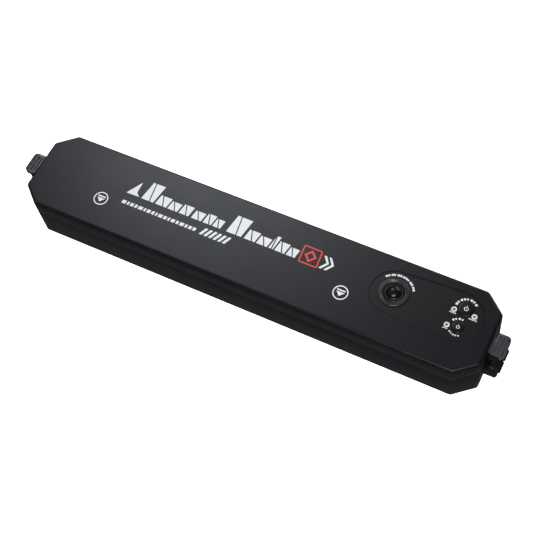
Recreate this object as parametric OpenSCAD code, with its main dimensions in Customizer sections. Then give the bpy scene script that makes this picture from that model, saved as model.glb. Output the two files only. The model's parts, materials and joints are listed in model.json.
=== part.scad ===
// Household vacuum sealer for storage bags: a long, low, eight-sided body with a hinged lid, a heated
// sealing edge along the front, a vacuum chamber behind it and a small diaphragm pump at the back.
// Millimetres. X runs along the length, +Y points to the hinge side, +Z is up.
// The origin is the middle of the footprint, on the surface that the feet stand on.

/* [Body] */
// Length between the two end walls
body_l = 343; // [320:1:420]
// Depth from the front wall to the back wall
body_w = 62.5; // [61:0.5:80]
// Height of the base, from its underside to the parting line
base_h = 24.6; // [24:0.1:34]
// Height of the lid's side wall above the parting line
skirt_h = 10.7; // [10:0.1:14]
// Height of the top cover above the ledge round the lid
cap_h = 2.2; // [2:0.1:4]
// Length of a cut corner along the front wall
corner_x = 14; // [10:0.5:18]
// Length of a cut corner along the end wall
corner_y = 12; // [9:0.5:15]
// Plan radius of the outline's eight corners
corner_r = 3; // [1.5:0.5:5]
// Wall thickness of both shells
wall = 2.2; // [1.6:0.1:2.8]
// Thickness of the base's floor
floor_t = 2.2; // [1.6:0.1:3]
// Height of the feet below the base
foot_h = 1.9; // [1:0.1:4]

/* [Lid] */
// Open gap between the base's rim and the lid's rim
lid_gap = 0.3; // [0.2:0.05:0.6]
// Width of the ledge round the top cover
ledge = 0.4; // [0.2:0.05:0.8]
// Radius of the top cover's edge
cap_r = 1.6; // [1:0.1:1.9]
// Thickness of the lid's floor
lid_floor_t = 1.8; // [1.4:0.1:2.4]
// Depth of the recess for the control overlay
overlay_recess = 0.8; // [0.6:0.1:1.2]
// Thickness of the control overlay
overlay_t = 0.5; // [0.3:0.1:0.6]

/* [Hinge] */
// Distance of the hinge axis from the back wall's outer face
hinge_in = 3.4; // [3.2:0.1:4.5]
// Radius of the hinge barrels
barrel_r = 3; // [2.6:0.1:3.2]
// Radius of the hinge pins
hinge_pin_r = 1.2; // [0.8:0.05:1.6]
// Half the length of a lid lug
lug_half = 6; // [4:0.5:10]
// Length of a base ear
ear_l = 5.7; // [4:0.1:8]
// Angle that each bevelled back edge leaves open
bevel_angle = 50; // [46:1:60]

/* [Controls] */
// Release valve's distance from the right end wall
valve_in = 69.6; // [60:0.1:90]
// Release valve's distance behind the middle
valve_y = 5.5; // [4:0.1:6]
// Outer radius of the valve's bezel
bezel_r = 10.3; // [9:0.1:12]
// Radius of the valve button
valve_button_r = 6.9; // [6:0.1:7.4]
// Distance that the valve button travels
valve_travel = 2.2; // [1.5:0.1:2.5]
// Keys' distance from the right end wall
key_in = 22.7; // [21:0.1:24]
// Place of the vacuum and seal key, front to back
vacuum_key_y = 13.2; // [13:0.1:14]
// Place of the seal key, front to back
seal_key_y = -0.8; // [-2:0.1:0]
// Radius of the vacuum and seal key
vacuum_key_r = 5.1; // [4:0.1:5.6]
// Radius of the seal key
seal_key_r = 4.1; // [3.2:0.1:4.8]
// Distance that a key travels
key_travel = 0.6; // [0.3:0.05:0.7]

/* [Chamber] */
// Depth of the deck below the parting line
deck_drop = 1.2; // [1:0.1:1.6]
// Thickness of the deck
deck_t = 2.4; // [2:0.1:3]
// Depth of the vacuum trough
trough_d = 10; // [8:0.5:11]
// Width of the vacuum trough
trough_w = 15; // [10:0.5:16]
// Width of the foam gaskets
gasket_w = 3.8; // [3:0.1:4.2]
// Width of the heating strip
heater_w = 2.5; // [2:0.1:4]

/* [Latches] */
// Height of the latches' pivot above the surface that the feet stand on
latch_z = 16; // [15:0.1:18]
// Width of a latch lever
lever_w = 16.4; // [14:0.2:20]
// Radius of the latch pins
latch_pin_r = 1.2; // [0.8:0.05:1.5]
// How far the thumb tab stands out from the end wall
tab_out = 10.8; // [9:0.1:13]

/* [Pump] */
// Diameter of the motor's can
motor_d = 20; // [16:0.5:20]
// Height of the can over its flats
motor_flat = 15.4; // [12:0.1:15.6]
// Length of the can
motor_l = 25; // [20:0.5:32]
// Radius of the motor's shaft
shaft_r = 1; // [0.8:0.05:1.2]
// Offset of the crank
crank_offset = 1.2; // [0.8:0.1:1.4]

/* [Hidden] */
$fn = 40;

// Clearances
seat = 0.2;        // round a piece that drops into a seat
fit = 0.05;        // radial, round a pin, shaft or plunger that turns or slides
swing = 0.3;       // between pieces that pass each other
over = 1;          // how far a cut runs past the face it opens

// Levels, from the surface that the feet stand on
z_under = foot_h;
z_floor = z_under + floor_t;
z_part = z_under + base_h;
z_rim = z_part + lid_gap;
z_ledge = z_part + skirt_h;
z_top = z_ledge + cap_h;
z_deck = z_part - deck_drop;
z_deck_under = z_deck - deck_t;
z_ceiling = z_part + 1;                       // underside of the lid's floor
z_lid_floor = z_ceiling + lid_floor_t;        // upper side of the lid's floor
z_overlay = z_top - overlay_recess;           // floor of the overlay's recess

// Places in plan
hinge_from_end = 56.5;
cable_from_end = 111.5;
half_l = body_l / 2;
half_w = body_w / 2;
hinge_y = half_w - hinge_in;
hinge_x = half_l - hinge_from_end;
cable_x = half_l - cable_from_end;
valve_x = half_l - valve_in;
key_x = half_l - key_in;

// Chamber and heater, measured from the front wall
heater_y = -half_w + wall + 4.65;
holder_w = 7.2;
holder_half = half_l - 21.5;
press_w = 4.6;                                // width of the lid's press strip
holder_h = 3.5;
notch_half = 1.6;                             // half the notch for a terminal
z_holder = z_part - 0.5;
ring_front = heater_y + 5.1;                  // outer front edge of the gaskets
ring_back = valve_y + 11;                     // outer back edge of the gaskets
ring_half = half_l - 18;
ring_r = 5;
groove_d = 1.3;
trough_half = half_l - 25.5;
trough_wall = 1.5;
peg_x = 60;
peg_r = 2;
trough_front = ring_front + gasket_w + 2.45;
trough_back = trough_front + trough_w;
trough_r = 2.5;
z_trough = z_deck - trough_d;

// Pump, measured from the back wall
pump_y = half_w - wall - 13.05;
pump_z = z_floor + 8.5;
pump_x = half_l - 135.5;                      // left face of the pump's housing
pump_l = 24;
pump_w = 18;
cavity_r = 4.8;
housing_top = pump_z + 5.6;
diaphragm_t = 0.8;
head_top = z_deck_under - 0.3;
nipple_r = 1.5;
nipple_bore_r = 0.9;
nipple_z = housing_top + diaphragm_t + 1.2;
hose_r = 2.4;
hose_bend = 4;
hose_x = pump_x - 21;
inlet_nipple_y = pump_y - 4;

// Electrics
board_t = 1.6;
power_board_x = -half_l + 59.5;
power_board_l = 82;
power_board_w = 18;
z_power_board = z_floor + 2.9;
z_parts = z_power_board + board_t;            // upper face of the power board
inlet_x = -half_l + 43.5;
inlet_z = z_under + 10.6;
inlet_pitch = 8.6;
inlet_pin_r = 1.2;
inlet_hole_r = 3.9;
inlet_depth = 12;
inlet_w = 19;
inlet_h = 13;
z_control_board = z_lid_floor + 2.2;
control_x0 = key_x - 15.8;
control_x1 = key_x + 8.7;
control_y0 = seal_key_y - 6.2;
control_y1 = vacuum_key_y + 6.8;
led_places = [[key_x - vacuum_key_r - 1.9, vacuum_key_y - 3.1],
    [key_x + vacuum_key_r + 1.7, vacuum_key_y - 3.1], [key_x - seal_key_r - 3, seal_key_y - 1.1]];
lens_r = 1.3;
led_r = 1.2;
led_h = 1.8;                                  // up to where its dome begins

// Screws: shank radius, head radius, head height
screw_r = 1.3;
screw_head_r = 2.6;
screw_head_h = 1.8;
small_screw_r = 0.9;
small_head_r = 1.7;
small_head_h = 1.1;
base_screw_places = [[-half_l + 41.5, heater_y + 0.4], [0, heater_y + 0.4], [half_l - 41.5, heater_y + 0.4],
    [-half_l + 12.5, hinge_y - 8.5], [0, hinge_y - 4], [half_l - 12.5, hinge_y - 8.5]];
lid_screw_places = [[-half_l + 9, -14], [-half_l + 9, 12], [half_l - 9, -14], [half_l - 9, 10],
    [-half_l + 86, hinge_y - 6.85], [0, hinge_y - 6.85], [half_l - 86, hinge_y - 6.85]];
lid_boss_r = 2.8;
base_boss_r = 4;
deck_boss_r = 3.2;
z_boss_joint = z_floor + 3.9;                 // where the base's boss meets the deck's
foot_r = 5;
foot_seat = 1.5;
foot_places = [for (sx = [-1, 1], sy = [-1, 1]) [sx * (half_l - 24), sy * (half_w - 9.5)]];

// Latch, on the right end wall: u is the distance out from the wall
latch_u = 4.5;
lug_half_w = 3;
lug_gap = 1.8;                                // half the room that the spring has between the lugs
lug_r = 2.6;
tab_in = 2;
tab_t = 2.9;
z_tab = z_top - 4.5;
arm_in = 3.4;
arm_out = 6;
catch_out = 1.7;
z_catch = z_tab - tab_t - 0.5;
catch_h = 2;
catch_half = 5.5;
bracket_h = 7.8;
grip_l = lever_w / 2 - 2.4;                   // grip slots: length, width and pitch
grip_w = 1.1;
grip_pitch = 2.7;

body_grey = [0.13, 0.13, 0.14];
part_black = [0.06, 0.06, 0.065];
tab_grey = [0.42, 0.43, 0.44];
steel = [0.7, 0.7, 0.72];
foam_grey = [0.2, 0.2, 0.2];

// ---------------------------------------------------------------- shapes

function unit(v) = v / norm(v);

// Points of a round corner of radius r at p, between the neighbouring corners a and b
function corner_arc(a, p, b, r, n) =
    let (u = unit(a - p), v = unit(b - p), half = acos(u * v) / 2,
        c = p + unit(u + v) * r / sin(half),
        s = p + u * r / tan(half) - c, e = p + v * r / tan(half) - c,
        a0 = atan2(s[1], s[0]), d = atan2(e[1], e[0]) - a0,
        turn = d > 180 ? d - 360 : d < -180 ? d + 360 : d)
    [for (i = [0:n]) c + r * [cos(a0 + turn * i / n), sin(a0 + turn * i / n)]];

// A closed outline with every corner rounded to r
function rounded(pts, r, n = 4) =
    let (k = len(pts))
    [for (i = [0:k - 1]) each corner_arc(pts[(i + k - 1) % k], pts[i], pts[(i + 1) % k], r, n)];

function box_corners(x0, y0, x1, y1) = [[x0, y0], [x1, y0], [x1, y1], [x0, y1]];

// Corners of the body's eight-sided outline, moved in by d all round
function octagon(d) =
    let (s = norm([corner_x, corner_y]), hx = half_l - d, hy = half_w - d,
        cx = corner_x - d * (1 - (s - corner_x) / corner_y),
        cy = corner_y - d * (1 - (s - corner_y) / corner_x))
    [[hx - cx, -hy], [hx, -hy + cy], [hx, hy - cy], [hx - cx, hy],
        [-hx + cx, hy], [-hx, hy - cy], [-hx, -hy + cy], [-hx + cx, -hy]];

module outline(d) polygon(rounded(octagon(d), max(corner_r - d, 0.8)));

// A plate with the body's outline moved in by d, from z0 to z1
module slab(d, z0, z1) translate([0, 0, z0]) linear_extrude(z1 - z0) outline(d);

module block(x0, y0, z0, x1, y1, z1) translate([x0, y0, z0]) cube([x1 - x0, y1 - y0, z1 - z0]);

module round_plate(x0, y0, x1, y1, r, z0, z1)
    translate([0, 0, z0]) linear_extrude(z1 - z0) polygon(rounded(box_corners(x0, y0, x1, y1), r));

module post(p, r, z0, z1) translate([p[0], p[1], z0]) cylinder(r = r, h = z1 - z0);

module rod_x(x0, x1, y, z, r) translate([x0, y, z]) rotate([0, 90, 0]) cylinder(r = r, h = x1 - x0);

module rod_y(y0, y1, x, z, r) translate([x, y0, z]) rotate([-90, 0, 0]) cylinder(r = r, h = y1 - y0);

// The vector n carried round the turn from direction a to direction b
function turned(n, a, b) = let (v = cross(a, b), c = a * b) c * n + cross(v, n) + v * (v * n) / (1 + c);

// A wire of radius r through the points p: eight-sided lengths with mitred turns
module wire(p, r) {
    sides = 8;
    last = len(p) - 1;
    t = [for (i = [0:last]) unit(p[min(i, last - 1) + 1] - p[min(i, last - 1)])];
    n0 = unit(cross(t[0], abs(t[0][2]) < 0.9 ? [0, 0, 1] : [1, 0, 0]));
    normals = [for (i = 0, n = n0; i <= last; n = i < last ? turned(n, t[i], t[i + 1]) : n, i = i + 1) n];
    rings = [for (i = [0:last], k = [0:sides - 1])
        let (a = 360 * k / sides, d = cos(a) * normals[i] + sin(a) * cross(t[i], normals[i]),
            m = unit(t[max(i - 1, 0)] + t[i]))
        p[i] + r * (d - t[i] * (d * m) / (t[i] * m))];
    walls = [for (i = [0:last - 1], k = [0:sides - 1])
        let (n = (k + 1) % sides)
        [i * sides + k, (i + 1) * sides + k, (i + 1) * sides + n, i * sides + n]];
    ends = [[for (k = [0:sides - 1]) k], [for (k = [sides - 1:-1:0]) last * sides + k]];
    polyhedron(points = rings, faces = concat(walls, ends));
}

// A coil spring on the Z axis from z = 0 to h: mean radius r, wire radius wr
module coil(r, wr, h, turns) {
    sides = 6;
    steps = 14 * turns;
    ring = [for (i = [0:steps], k = [0:sides - 1])
        let (a = 360 * turns * i / steps, b = 360 * k / sides)
        [(r + wr * cos(b)) * cos(a), (r + wr * cos(b)) * sin(a),
            wr + (h - 2 * wr) * i / steps + wr * sin(b)]];
    walls = [for (i = [0:steps - 1], k = [0:sides - 1])
        let (n = (k + 1) % sides)
        [i * sides + k, (i + 1) * sides + k, (i + 1) * sides + n, i * sides + n]];
    ends = [[for (k = [0:sides - 1]) k], [for (k = [sides - 1:-1:0]) steps * sides + k]];
    polyhedron(points = ring, faces = concat(walls, ends));
}

// Right-hand pieces are drawn once and mirrored for the left end
module both_ends() {
    children();
    mirror([1, 0, 0]) children();
}

// ---------------------------------------------------------------- hinge

// Places of the two pinned hinges and of the hollow one that the cable runs through
pinned = [-hinge_x, hinge_x];
stations = concat(pinned, [cable_x]);
station_half = lug_half + swing + ear_l;
cable_bore_r = 1.7;
cable_r = 1.1;

// The space that the bevelled back edges leave: side = 1 above the axis, -1 below
module bevel(side)
    translate([-half_l - over, hinge_y, z_part]) rotate([90, 0, 90])
        linear_extrude(body_l + 2 * over) {
            reach = hinge_in + over;
            polygon([[0, 0], [reach, side * reach * tan(bevel_angle)], [reach, -side * over],
                [0, -side * over]]);
        }

module barrel(x0, x1, r = barrel_r) rod_x(x0, x1, hinge_y, z_part, r);

module ear(x0, x1) {
    barrel(x0, x1);
    difference() {
        block(x0, hinge_y - barrel_r, z_part - 7, x1, half_w - wall / 2, z_part);
        bevel(-1);
    }
}

module lug(x) {
    barrel(x - lug_half, x + lug_half);
    difference() {
        block(x - lug_half, hinge_y - barrel_r, z_part, x + lug_half, half_w - wall / 2, z_lid_floor);
        bevel(1);
    }
}

module hinge_pins() color(steel)
    for (x = pinned) rod_x(x - station_half, x + station_half, hinge_y, z_part, hinge_pin_r);

// ---------------------------------------------------------------- base

module base_shell() color(body_grey) difference() {
    union() {
        difference() {
            hull() {
                slab(1.3, z_under, z_under + 0.1);
                slab(0.4, z_under + 0.4, z_under + 0.5);
                slab(0, z_under + 1.3, z_part);
            }
            slab(wall, z_floor, z_part + over);
            bevel(-1);
            for (x = stations)
                barrel(x - station_half - swing, x + station_half + swing, barrel_r + swing);
        }
        for (p = base_screw_places) post(p, base_boss_r, z_floor - 0.5, z_boss_joint);
        for (p = foot_places) post(p, foot_r + 2, z_floor - 0.5, z_floor + 1.2);
        for (p = power_board_holes) post(p, 2.4, z_floor - 0.5, z_power_board);
        for (x = pinned, s = [-1, 1]) {
            x0 = x + (s > 0 ? lug_half + swing : -station_half);
            ear(x0, x0 + ear_l);
        }
        ear(cable_x + lug_half + swing, cable_x + station_half);
        both_ends() latch_bracket();
    }
    for (p = base_screw_places) {
        post(p, screw_head_r + 0.4, z_under - over, z_boss_joint - 1.9);
        post(p, screw_r + fit, z_under, z_boss_joint + over);
    }
    for (p = foot_places) post(p, foot_r + fit, z_under - over, z_under + foot_seat);
    for (p = power_board_holes) post(p, small_screw_r + fit, z_floor - 0.5, z_power_board + over);
    for (x = pinned) barrel(x - station_half - over, x + station_half + over, hinge_pin_r + fit / 2);
    barrel(cable_x + lug_half, cable_x + station_half + over, cable_bore_r);
    both_ends()
        rod_y(-lug_half_w - over, lug_half_w + over, half_l + latch_u, latch_z, latch_pin_r + fit / 2);
    translate([inlet_x, 0, inlet_z]) rotate([-90, 0, 0]) linear_extrude(half_w + over) inlet_face(0);
}

// The block below a latch, with two lugs that hold its pin
module latch_bracket() {
    z0 = z_under + 0.5;
    translate([half_l, 0, 0]) rotate([90, 0, 0]) linear_extrude(lever_w, center = true)
        polygon([[-wall / 2, z0], [7.2, z0], [8.6, z0 + 3.6], [8.3, z0 + bracket_h],
            [-wall / 2, z0 + bracket_h]]);
    for (s = [-1, 1]) {
        y0 = s > 0 ? lug_gap : -lug_half_w;
        y1 = y0 + lug_half_w - lug_gap;
        rod_y(y0, y1, half_l + latch_u, latch_z, lug_r);
        block(half_l - wall / 2, y0, latch_z - lug_r, half_l + latch_u, y1, latch_z + lug_r);
    }
}

module rubber_feet() color(part_black)
    for (p = foot_places) post(p, foot_r, 0, z_under + foot_seat);

module base_screws() color(steel)
    for (p = base_screw_places) difference() {
        union() {
            post(p, screw_head_r, z_boss_joint - 1.9 - screw_head_h, z_boss_joint - 1.9);
            post(p, screw_r, z_boss_joint - 1.9, z_boss_joint + 9);
        }
        for (a = [0, 90]) translate([p[0], p[1], z_boss_joint - 1.9 - screw_head_h]) rotate(a)
            cube([2.6, 0.6, 1.6], center = true);
    }

// ---------------------------------------------------------------- chamber deck

// The gaskets' outline, moved in by d
module ring_plate(d, r, z0, z1)
    round_plate(-ring_half + d, ring_front + d, ring_half - d, ring_back - d, r, z0, z1);

module gasket_ring(z0, z1, side) difference() {
    ring_plate(side, ring_r - side, z0, z1);
    ring_plate(gasket_w + seat, ring_r - gasket_w + 1, z0 - over, z1 + over);
}

module groove(z0, z1) difference() {
    ring_plate(0, ring_r, z0, z1);
    ring_plate(gasket_w + 2 * seat, ring_r - gasket_w + 0.8, z0 - over, z1 + over);
}

module chamber_deck() color(part_black) difference() {
    union() {
        slab(wall + seat, z_deck_under, z_deck);
        // front rail that the heater's holder sits in
        block(-holder_half - 2, heater_y - 4.45, z_holder - holder_h - 1.5,
            holder_half + 2, heater_y + 4.4, z_deck);
        round_plate(-trough_half - trough_wall, trough_front - trough_wall, trough_half + trough_wall,
            trough_back + trough_wall, trough_r + trough_wall, z_trough - trough_wall, z_deck_under + 0.5);
        post([valve_x, valve_y], valve_pocket_r + 1.5, z_valve_pocket - 1.5, z_deck_under + 0.5);
        for (p = base_screw_places) post(p, deck_boss_r, z_boss_joint, z_deck_under + 0.5);
        // air outlet to the pump's hose
        rod_y(trough_back, inlet_nipple_y - hose_bend - 1, hose_x, nipple_z, nipple_r);
    }
    difference() {
        round_plate(-trough_half, trough_front, trough_half, trough_back, trough_r, z_trough, z_deck + over);
        // pegs that stop the bag's mouth
        for (s = [-1, 1]) post([s * peg_x, trough_back - 2 * peg_r], peg_r, z_trough - over, z_part - 0.2);
    }
    post([valve_x, valve_y], valve_pocket_r, z_valve_pocket, z_deck + over);
    groove(z_deck - groove_d, z_deck + over);
    block(-holder_half - seat, heater_y - holder_w / 2 - seat, z_holder - holder_h,
        holder_half + seat, heater_y + holder_w / 2 + seat, z_part);
    both_ends() block(holder_half - 1, heater_y - notch_half, z_holder - holder_h - 2 - over,
        holder_half + seat, heater_y + notch_half, z_part);
    for (p = base_screw_places) post(p, screw_r + fit, z_boss_joint - over, z_boss_joint + 10);
    rod_y(trough_back - over, half_w, hose_x, nipple_z, nipple_bore_r);
    for (x = stations)
        block(x - station_half - 0.5, hinge_y - barrel_r - 0.6, z_deck_under - over,
            x + station_half + 0.5, half_w, z_deck + over);
    block(cable_x - lug_half - 6, hinge_y - barrel_r - 0.6, z_deck_under - over,
        cable_x + station_half + 7, half_w, z_deck + over);
    bevel(-1);
}

module lower_gasket() color(foam_grey) gasket_ring(z_deck - groove_d, z_part + 0.05, seat / 2);

module upper_gasket() color(foam_grey) gasket_ring(z_part + 0.15, z_ceiling + 0.9, seat / 2);

module heater_holder() color([0.35, 0.22, 0.15]) difference() {
    block(-holder_half, heater_y - holder_w / 2, z_holder - holder_h,
        holder_half, heater_y + holder_w / 2, z_holder);
    both_ends() block(holder_half - 1, heater_y - notch_half, z_holder - holder_h - over,
        holder_half + over, heater_y + notch_half, z_holder - 0.5);
}

strip_t = 0.15;
tape_t = 0.12;
terminal_half = 1.3;
z_terminal = z_holder - holder_h - 4;          // lower end of the strip's terminals

module heating_strip() color(steel)
    block(-holder_half, heater_y - heater_w / 2, z_holder,
        holder_half, heater_y + heater_w / 2, z_holder + strip_t);

module heater_tape() color([0.55, 0.42, 0.28])
    block(-holder_half + 1.5, heater_y - holder_w / 2 + 0.2, z_holder + strip_t,
        holder_half - 1.5, heater_y + holder_w / 2 - 0.2, z_holder + strip_t + tape_t);

module strip_terminals() color([0.75, 0.6, 0.25])
    both_ends() block(holder_half - 0.8, heater_y - terminal_half, z_terminal,
        holder_half - 0.3, heater_y + terminal_half, z_holder - 0.5);

lead_z = z_floor + 1.5;
lead_r = 0.8;

module heater_leads() color([0.75, 0.1, 0.08]) {
    y1 = trough_back + trough_wall + 1.2;
    z1 = z_terminal - 0.8;
    wire([[-holder_half + 0.5, heater_y, z1], [-holder_half + 0.5, heater_y + 3, lead_z + 3],
        [-holder_half + 0.5, y1, lead_z], [power_board_x + 4, y1, lead_z],
        [power_board_x + 4, pump_y - power_board_w / 2 - 1.5, z_power_board + board_t / 2]], lead_r);
    wire([[holder_half - 0.5, heater_y, z1], [holder_half - 0.5, heater_y + 3, lead_z + 3],
        [holder_half - 0.5, y1 - 5, lead_z], [power_board_x + 12, y1 - 5, lead_z],
        [power_board_x + 12, pump_y - power_board_w / 2 - 1.5, z_power_board + board_t / 2]], lead_r);
}

// ---------------------------------------------------------------- latches

// The lever's side view: u out from the end wall, and the height
lever_side = [[arm_in, z_tab - 1], [arm_in, latch_z + 5], [arm_in - 1.4, latch_z + 3.4],
    [arm_in - 1.4, latch_z - 3.2], [3, latch_z - 4.4], [8.6, latch_z - 4.4], [10.3, latch_z - 2.6],
    [10.3, latch_z - 0.8], [arm_out + 0.8, latch_z + 4], [arm_out, latch_z + 7], [arm_out, z_tab - 1]];

module lever() difference() {
    union() {
        translate([half_l, 0, 0]) rotate([90, 0, 0]) linear_extrude(lever_w, center = true)
            polygon(lever_side);
        translate([half_l, 0, z_tab - tab_t]) linear_extrude(tab_t)
            polygon(concat([[tab_in, lever_w / 2], [tab_in, -lever_w / 2]],
                corner_arc([tab_in, -lever_w / 2], [tab_out, -lever_w / 2], [tab_out, lever_w / 2], 3, 5),
                corner_arc([tab_out, -lever_w / 2], [tab_out, lever_w / 2], [tab_in, lever_w / 2], 3, 5)));
    }
    // slot round the bracket's lugs
    slot_y = lug_half_w + swing;
    slot_z = latch_z - lug_r - 2.5;
    slot_r = lug_r + 2 * swing;
    block(half_l - over, -slot_y, slot_z, half_l + latch_u, slot_y, 2 * latch_z - slot_z);
    rod_y(-slot_y, slot_y, half_l + latch_u, latch_z, slot_r);
    block(half_l + latch_u, -slot_y, slot_z, half_l + latch_u + slot_r, slot_y, latch_z);
    rod_y(-lever_w, lever_w, half_l + latch_u, latch_z, latch_pin_r + fit);
    // grip slots in the tab
    for (i = [0:2], s = [-1, 1]) {
        x0 = half_l + tab_in + 1 + grip_pitch * i;
        y0 = s > 0 ? 0.5 : -0.5 - grip_l;
        block(x0, y0, z_tab - 0.9, x0 + grip_w, y0 + grip_l, z_tab + over);
    }
    // slit in the middle of the lower edge
    block(half_l + 9.1, -0.9, latch_z - 5, half_l + 11, 0.9, latch_z + 3);
}

module right_latch() color(tab_grey) lever();

module left_latch() color(tab_grey) mirror([1, 0, 0]) lever();

module latch_pins() color(steel)
    both_ends() rod_y(-lever_w / 2, lever_w / 2, half_l + latch_u, latch_z, latch_pin_r);

module latch_springs() color(steel)
    both_ends() translate([half_l + latch_u, -lug_gap + 0.2, latch_z]) rotate([-90, 0, 0])
        coil(latch_pin_r + 0.6, 0.3, 2 * lug_gap - 0.4, 4);

// ---------------------------------------------------------------- lid

overlay_r0 = bezel_r + 5.5;              // round the valve
overlay_r1 = vacuum_key_r + 12.9;        // round the keys
overlay_x1 = key_x - 4.3;
overlay_y1 = (vacuum_key_y + seal_key_y) / 2;

// The tapered outline of the control panel, moved in by d: two arcs and their common tangents
function overlay_outline(d) =
    let (c0 = [valve_x, valve_y], c1 = [overlay_x1, overlay_y1], v = c1 - c0,
        lean = atan2(v[1], v[0]), open = acos((overlay_r0 - overlay_r1) / norm(v)))
    concat([for (i = [0:24]) let (a = lean + open + (360 - 2 * open) * i / 24)
            c0 + (overlay_r0 - d) * [cos(a), sin(a)]],
        [for (i = [0:24]) let (a = lean - open + 2 * open * i / 24)
            c1 + (overlay_r1 - d) * [cos(a), sin(a)]]);

module top_cover() color(body_grey) difference() {
    union() {
        hull() {
            slab(ledge, z_ledge, z_top - cap_r);
            for (a = [25, 50, 72])
                slab(ledge + cap_r * (1 - cos(a)), z_ledge, z_top - cap_r + cap_r * sin(a));
            slab(ledge + cap_r, z_ledge, z_top);
        }
        // lip that centres the cover in the lid's frame
        difference() {
            slab(wall + seat, z_ledge - 2.5, z_ledge + 0.2);
            slab(wall + seat + 1.2, z_ledge - 2.5 - over, z_ledge);
        }
        for (p = lid_screw_places) post(p, lid_boss_r, z_lid_floor, z_ledge + 0.2);
    }
    translate([0, 0, z_overlay]) linear_extrude(cap_h) polygon(overlay_outline(0));
    post([valve_x, valve_y], bezel_sleeve_r + fit, z_ledge - over, z_top + over);
    post([key_x, vacuum_key_y], vacuum_key_r + key_gap, z_ledge - over, z_top + over);
    post([key_x, seal_key_y], seal_key_r + key_gap, z_ledge - over, z_top + over);
    for (p = led_places) post(p, lens_r + fit, z_ledge - over, z_top + over);
    for (p = lid_screw_places) post(p, screw_r + fit, z_lid_floor - over, z_lid_floor + 7);
}

module control_overlay() color(part_black) difference() {
    translate([0, 0, z_overlay]) linear_extrude(overlay_t) polygon(overlay_outline(0.1));
    post([valve_x, valve_y], bezel_sleeve_r + 0.1, z_overlay - over, z_top);
    post([key_x, vacuum_key_y], vacuum_key_r + key_gap, z_overlay - over, z_top);
    post([key_x, seal_key_y], seal_key_r + key_gap, z_overlay - over, z_top);
    for (p = led_places) post(p, lens_r + fit, z_overlay - over, z_top);
}

module lid_frame() color(body_grey) difference() {
    union() {
        difference() {
            slab(0, z_rim, z_ledge);
            slab(wall, z_rim - over, z_ceiling);
            slab(wall, z_lid_floor, z_ledge + over);
            bevel(1);
            for (x = stations)
                barrel(x - station_half - swing, x + station_half + swing, barrel_r + swing);
            block(cable_x - lug_half - 6, hinge_y - 3.2, z_part,
                cable_x - lug_half, half_w - wall, z_lid_floor + over);
        }
        for (x = stations) lug(x);
        // rails beside the press strip
        for (s = [-1, 1]) {
            y0 = heater_y + s * (press_w / 2 + 0.8);
            block(-holder_half, y0 - 0.6, z_part + 0.4, holder_half, y0 + 0.6, z_ceiling + 0.1);
        }
        for (p = control_holes) post(p, 2.3, z_lid_floor - 0.5, z_control_board);
    }
    both_ends() block(half_l - wall - over, -catch_half - fit, z_catch - catch_h - fit,
        half_l + over, catch_half + fit, z_catch + fit);
    groove(z_part, z_ceiling + 0.9);
    post([valve_x, valve_y], 2.3, z_part, z_ledge);
    for (x = pinned) barrel(x - lug_half - over, x + lug_half + over, hinge_pin_r + fit);
    barrel(cable_x - lug_half - over, cable_x + lug_half + over, cable_bore_r);
    barrel(cable_x + station_half, cable_x + station_half + 5, cable_bore_r);
    for (p = lid_screw_places) post(p, screw_r + fit, z_part, z_ledge);
    for (p = control_holes) post(p, small_screw_r + fit, z_lid_floor - 0.4, z_ledge);
}

// Tongues that the latches hook over; a flange behind the end wall holds each one
module lid_catches() color(steel) both_ends() {
    block(half_l - wall - over, -catch_half, z_catch - catch_h, half_l + catch_out, catch_half, z_catch);
    block(half_l - wall - 1.2, -catch_half - 2, z_lid_floor, half_l - wall, catch_half + 2, z_catch);
}

module lid_screws() color(steel)
    for (p = lid_screw_places) {
        post(p, 2.2, z_ceiling - 1, z_ceiling);
        post(p, screw_r, z_ceiling, z_lid_floor + 6);
    }

module press_strip() color([0.12, 0.12, 0.12])
    round_plate(-holder_half + 0.5, heater_y - press_w / 2, holder_half - 0.5, heater_y + press_w / 2, 1,
        z_part - 0.05, z_ceiling);

// ---------------------------------------------------------------- release valve

bezel_sleeve_r = valve_button_r + 1.5;
valve_flange_r = valve_button_r + 0.9;
valve_stem_r = 1.5;
valve_foot_r = 3;
valve_seal_r = 4.4;
valve_pocket_r = 5.5;
z_seal = z_ceiling - 1.8;      // underside of the seal
z_stem = z_seal - 0.8;         // underside of the stem's foot
z_valve_pocket = z_stem - valve_travel - 1.2;
z_button = z_ledge - 2.2;      // underside of the button

module valve_bezel() color([0.25, 0.25, 0.26])
    translate([valve_x, valve_y, 0]) rotate_extrude()
        polygon([[valve_button_r + swing, z_ledge - 0.6], [bezel_sleeve_r, z_ledge - 0.6],
            [bezel_sleeve_r, z_overlay + overlay_t], [bezel_r, z_overlay + overlay_t],
            [bezel_r, z_top + 0.2], [bezel_r - 0.4, z_top + 0.7], [bezel_r - 1.3, z_top + 0.9],
            [valve_button_r + 0.9, z_top + 0.6], [valve_button_r + swing, z_top]]);

// Dome on a disc; the flange under the bezel's sleeve stops it at rest
module release_valve_button() color(part_black)
    translate([valve_x, valve_y, 0]) difference() {
        dome = valve_button_r - 2.4;
        rotate_extrude() polygon(concat(
            [[0, z_button], [valve_flange_r, z_button], [valve_flange_r, z_ledge - 0.7],
                [valve_button_r, z_ledge - 0.7], [valve_button_r, z_top - 0.3],
                [valve_button_r - 0.5, z_top]],
            [for (a = [0:15:90]) [dome * cos(a) + 0.01 * cos(a), z_top + 0.4 + 2.6 * sin(a)]]));
        translate([0, 0, z_button - over]) cylinder(r = valve_stem_r, h = over + 2);
    }

module valve_stem() color([0.8, 0.8, 0.78]) {
    post([valve_x, valve_y], valve_stem_r, z_stem, z_button + 2);
    post([valve_x, valve_y], valve_foot_r, z_stem, z_seal);
}

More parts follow.
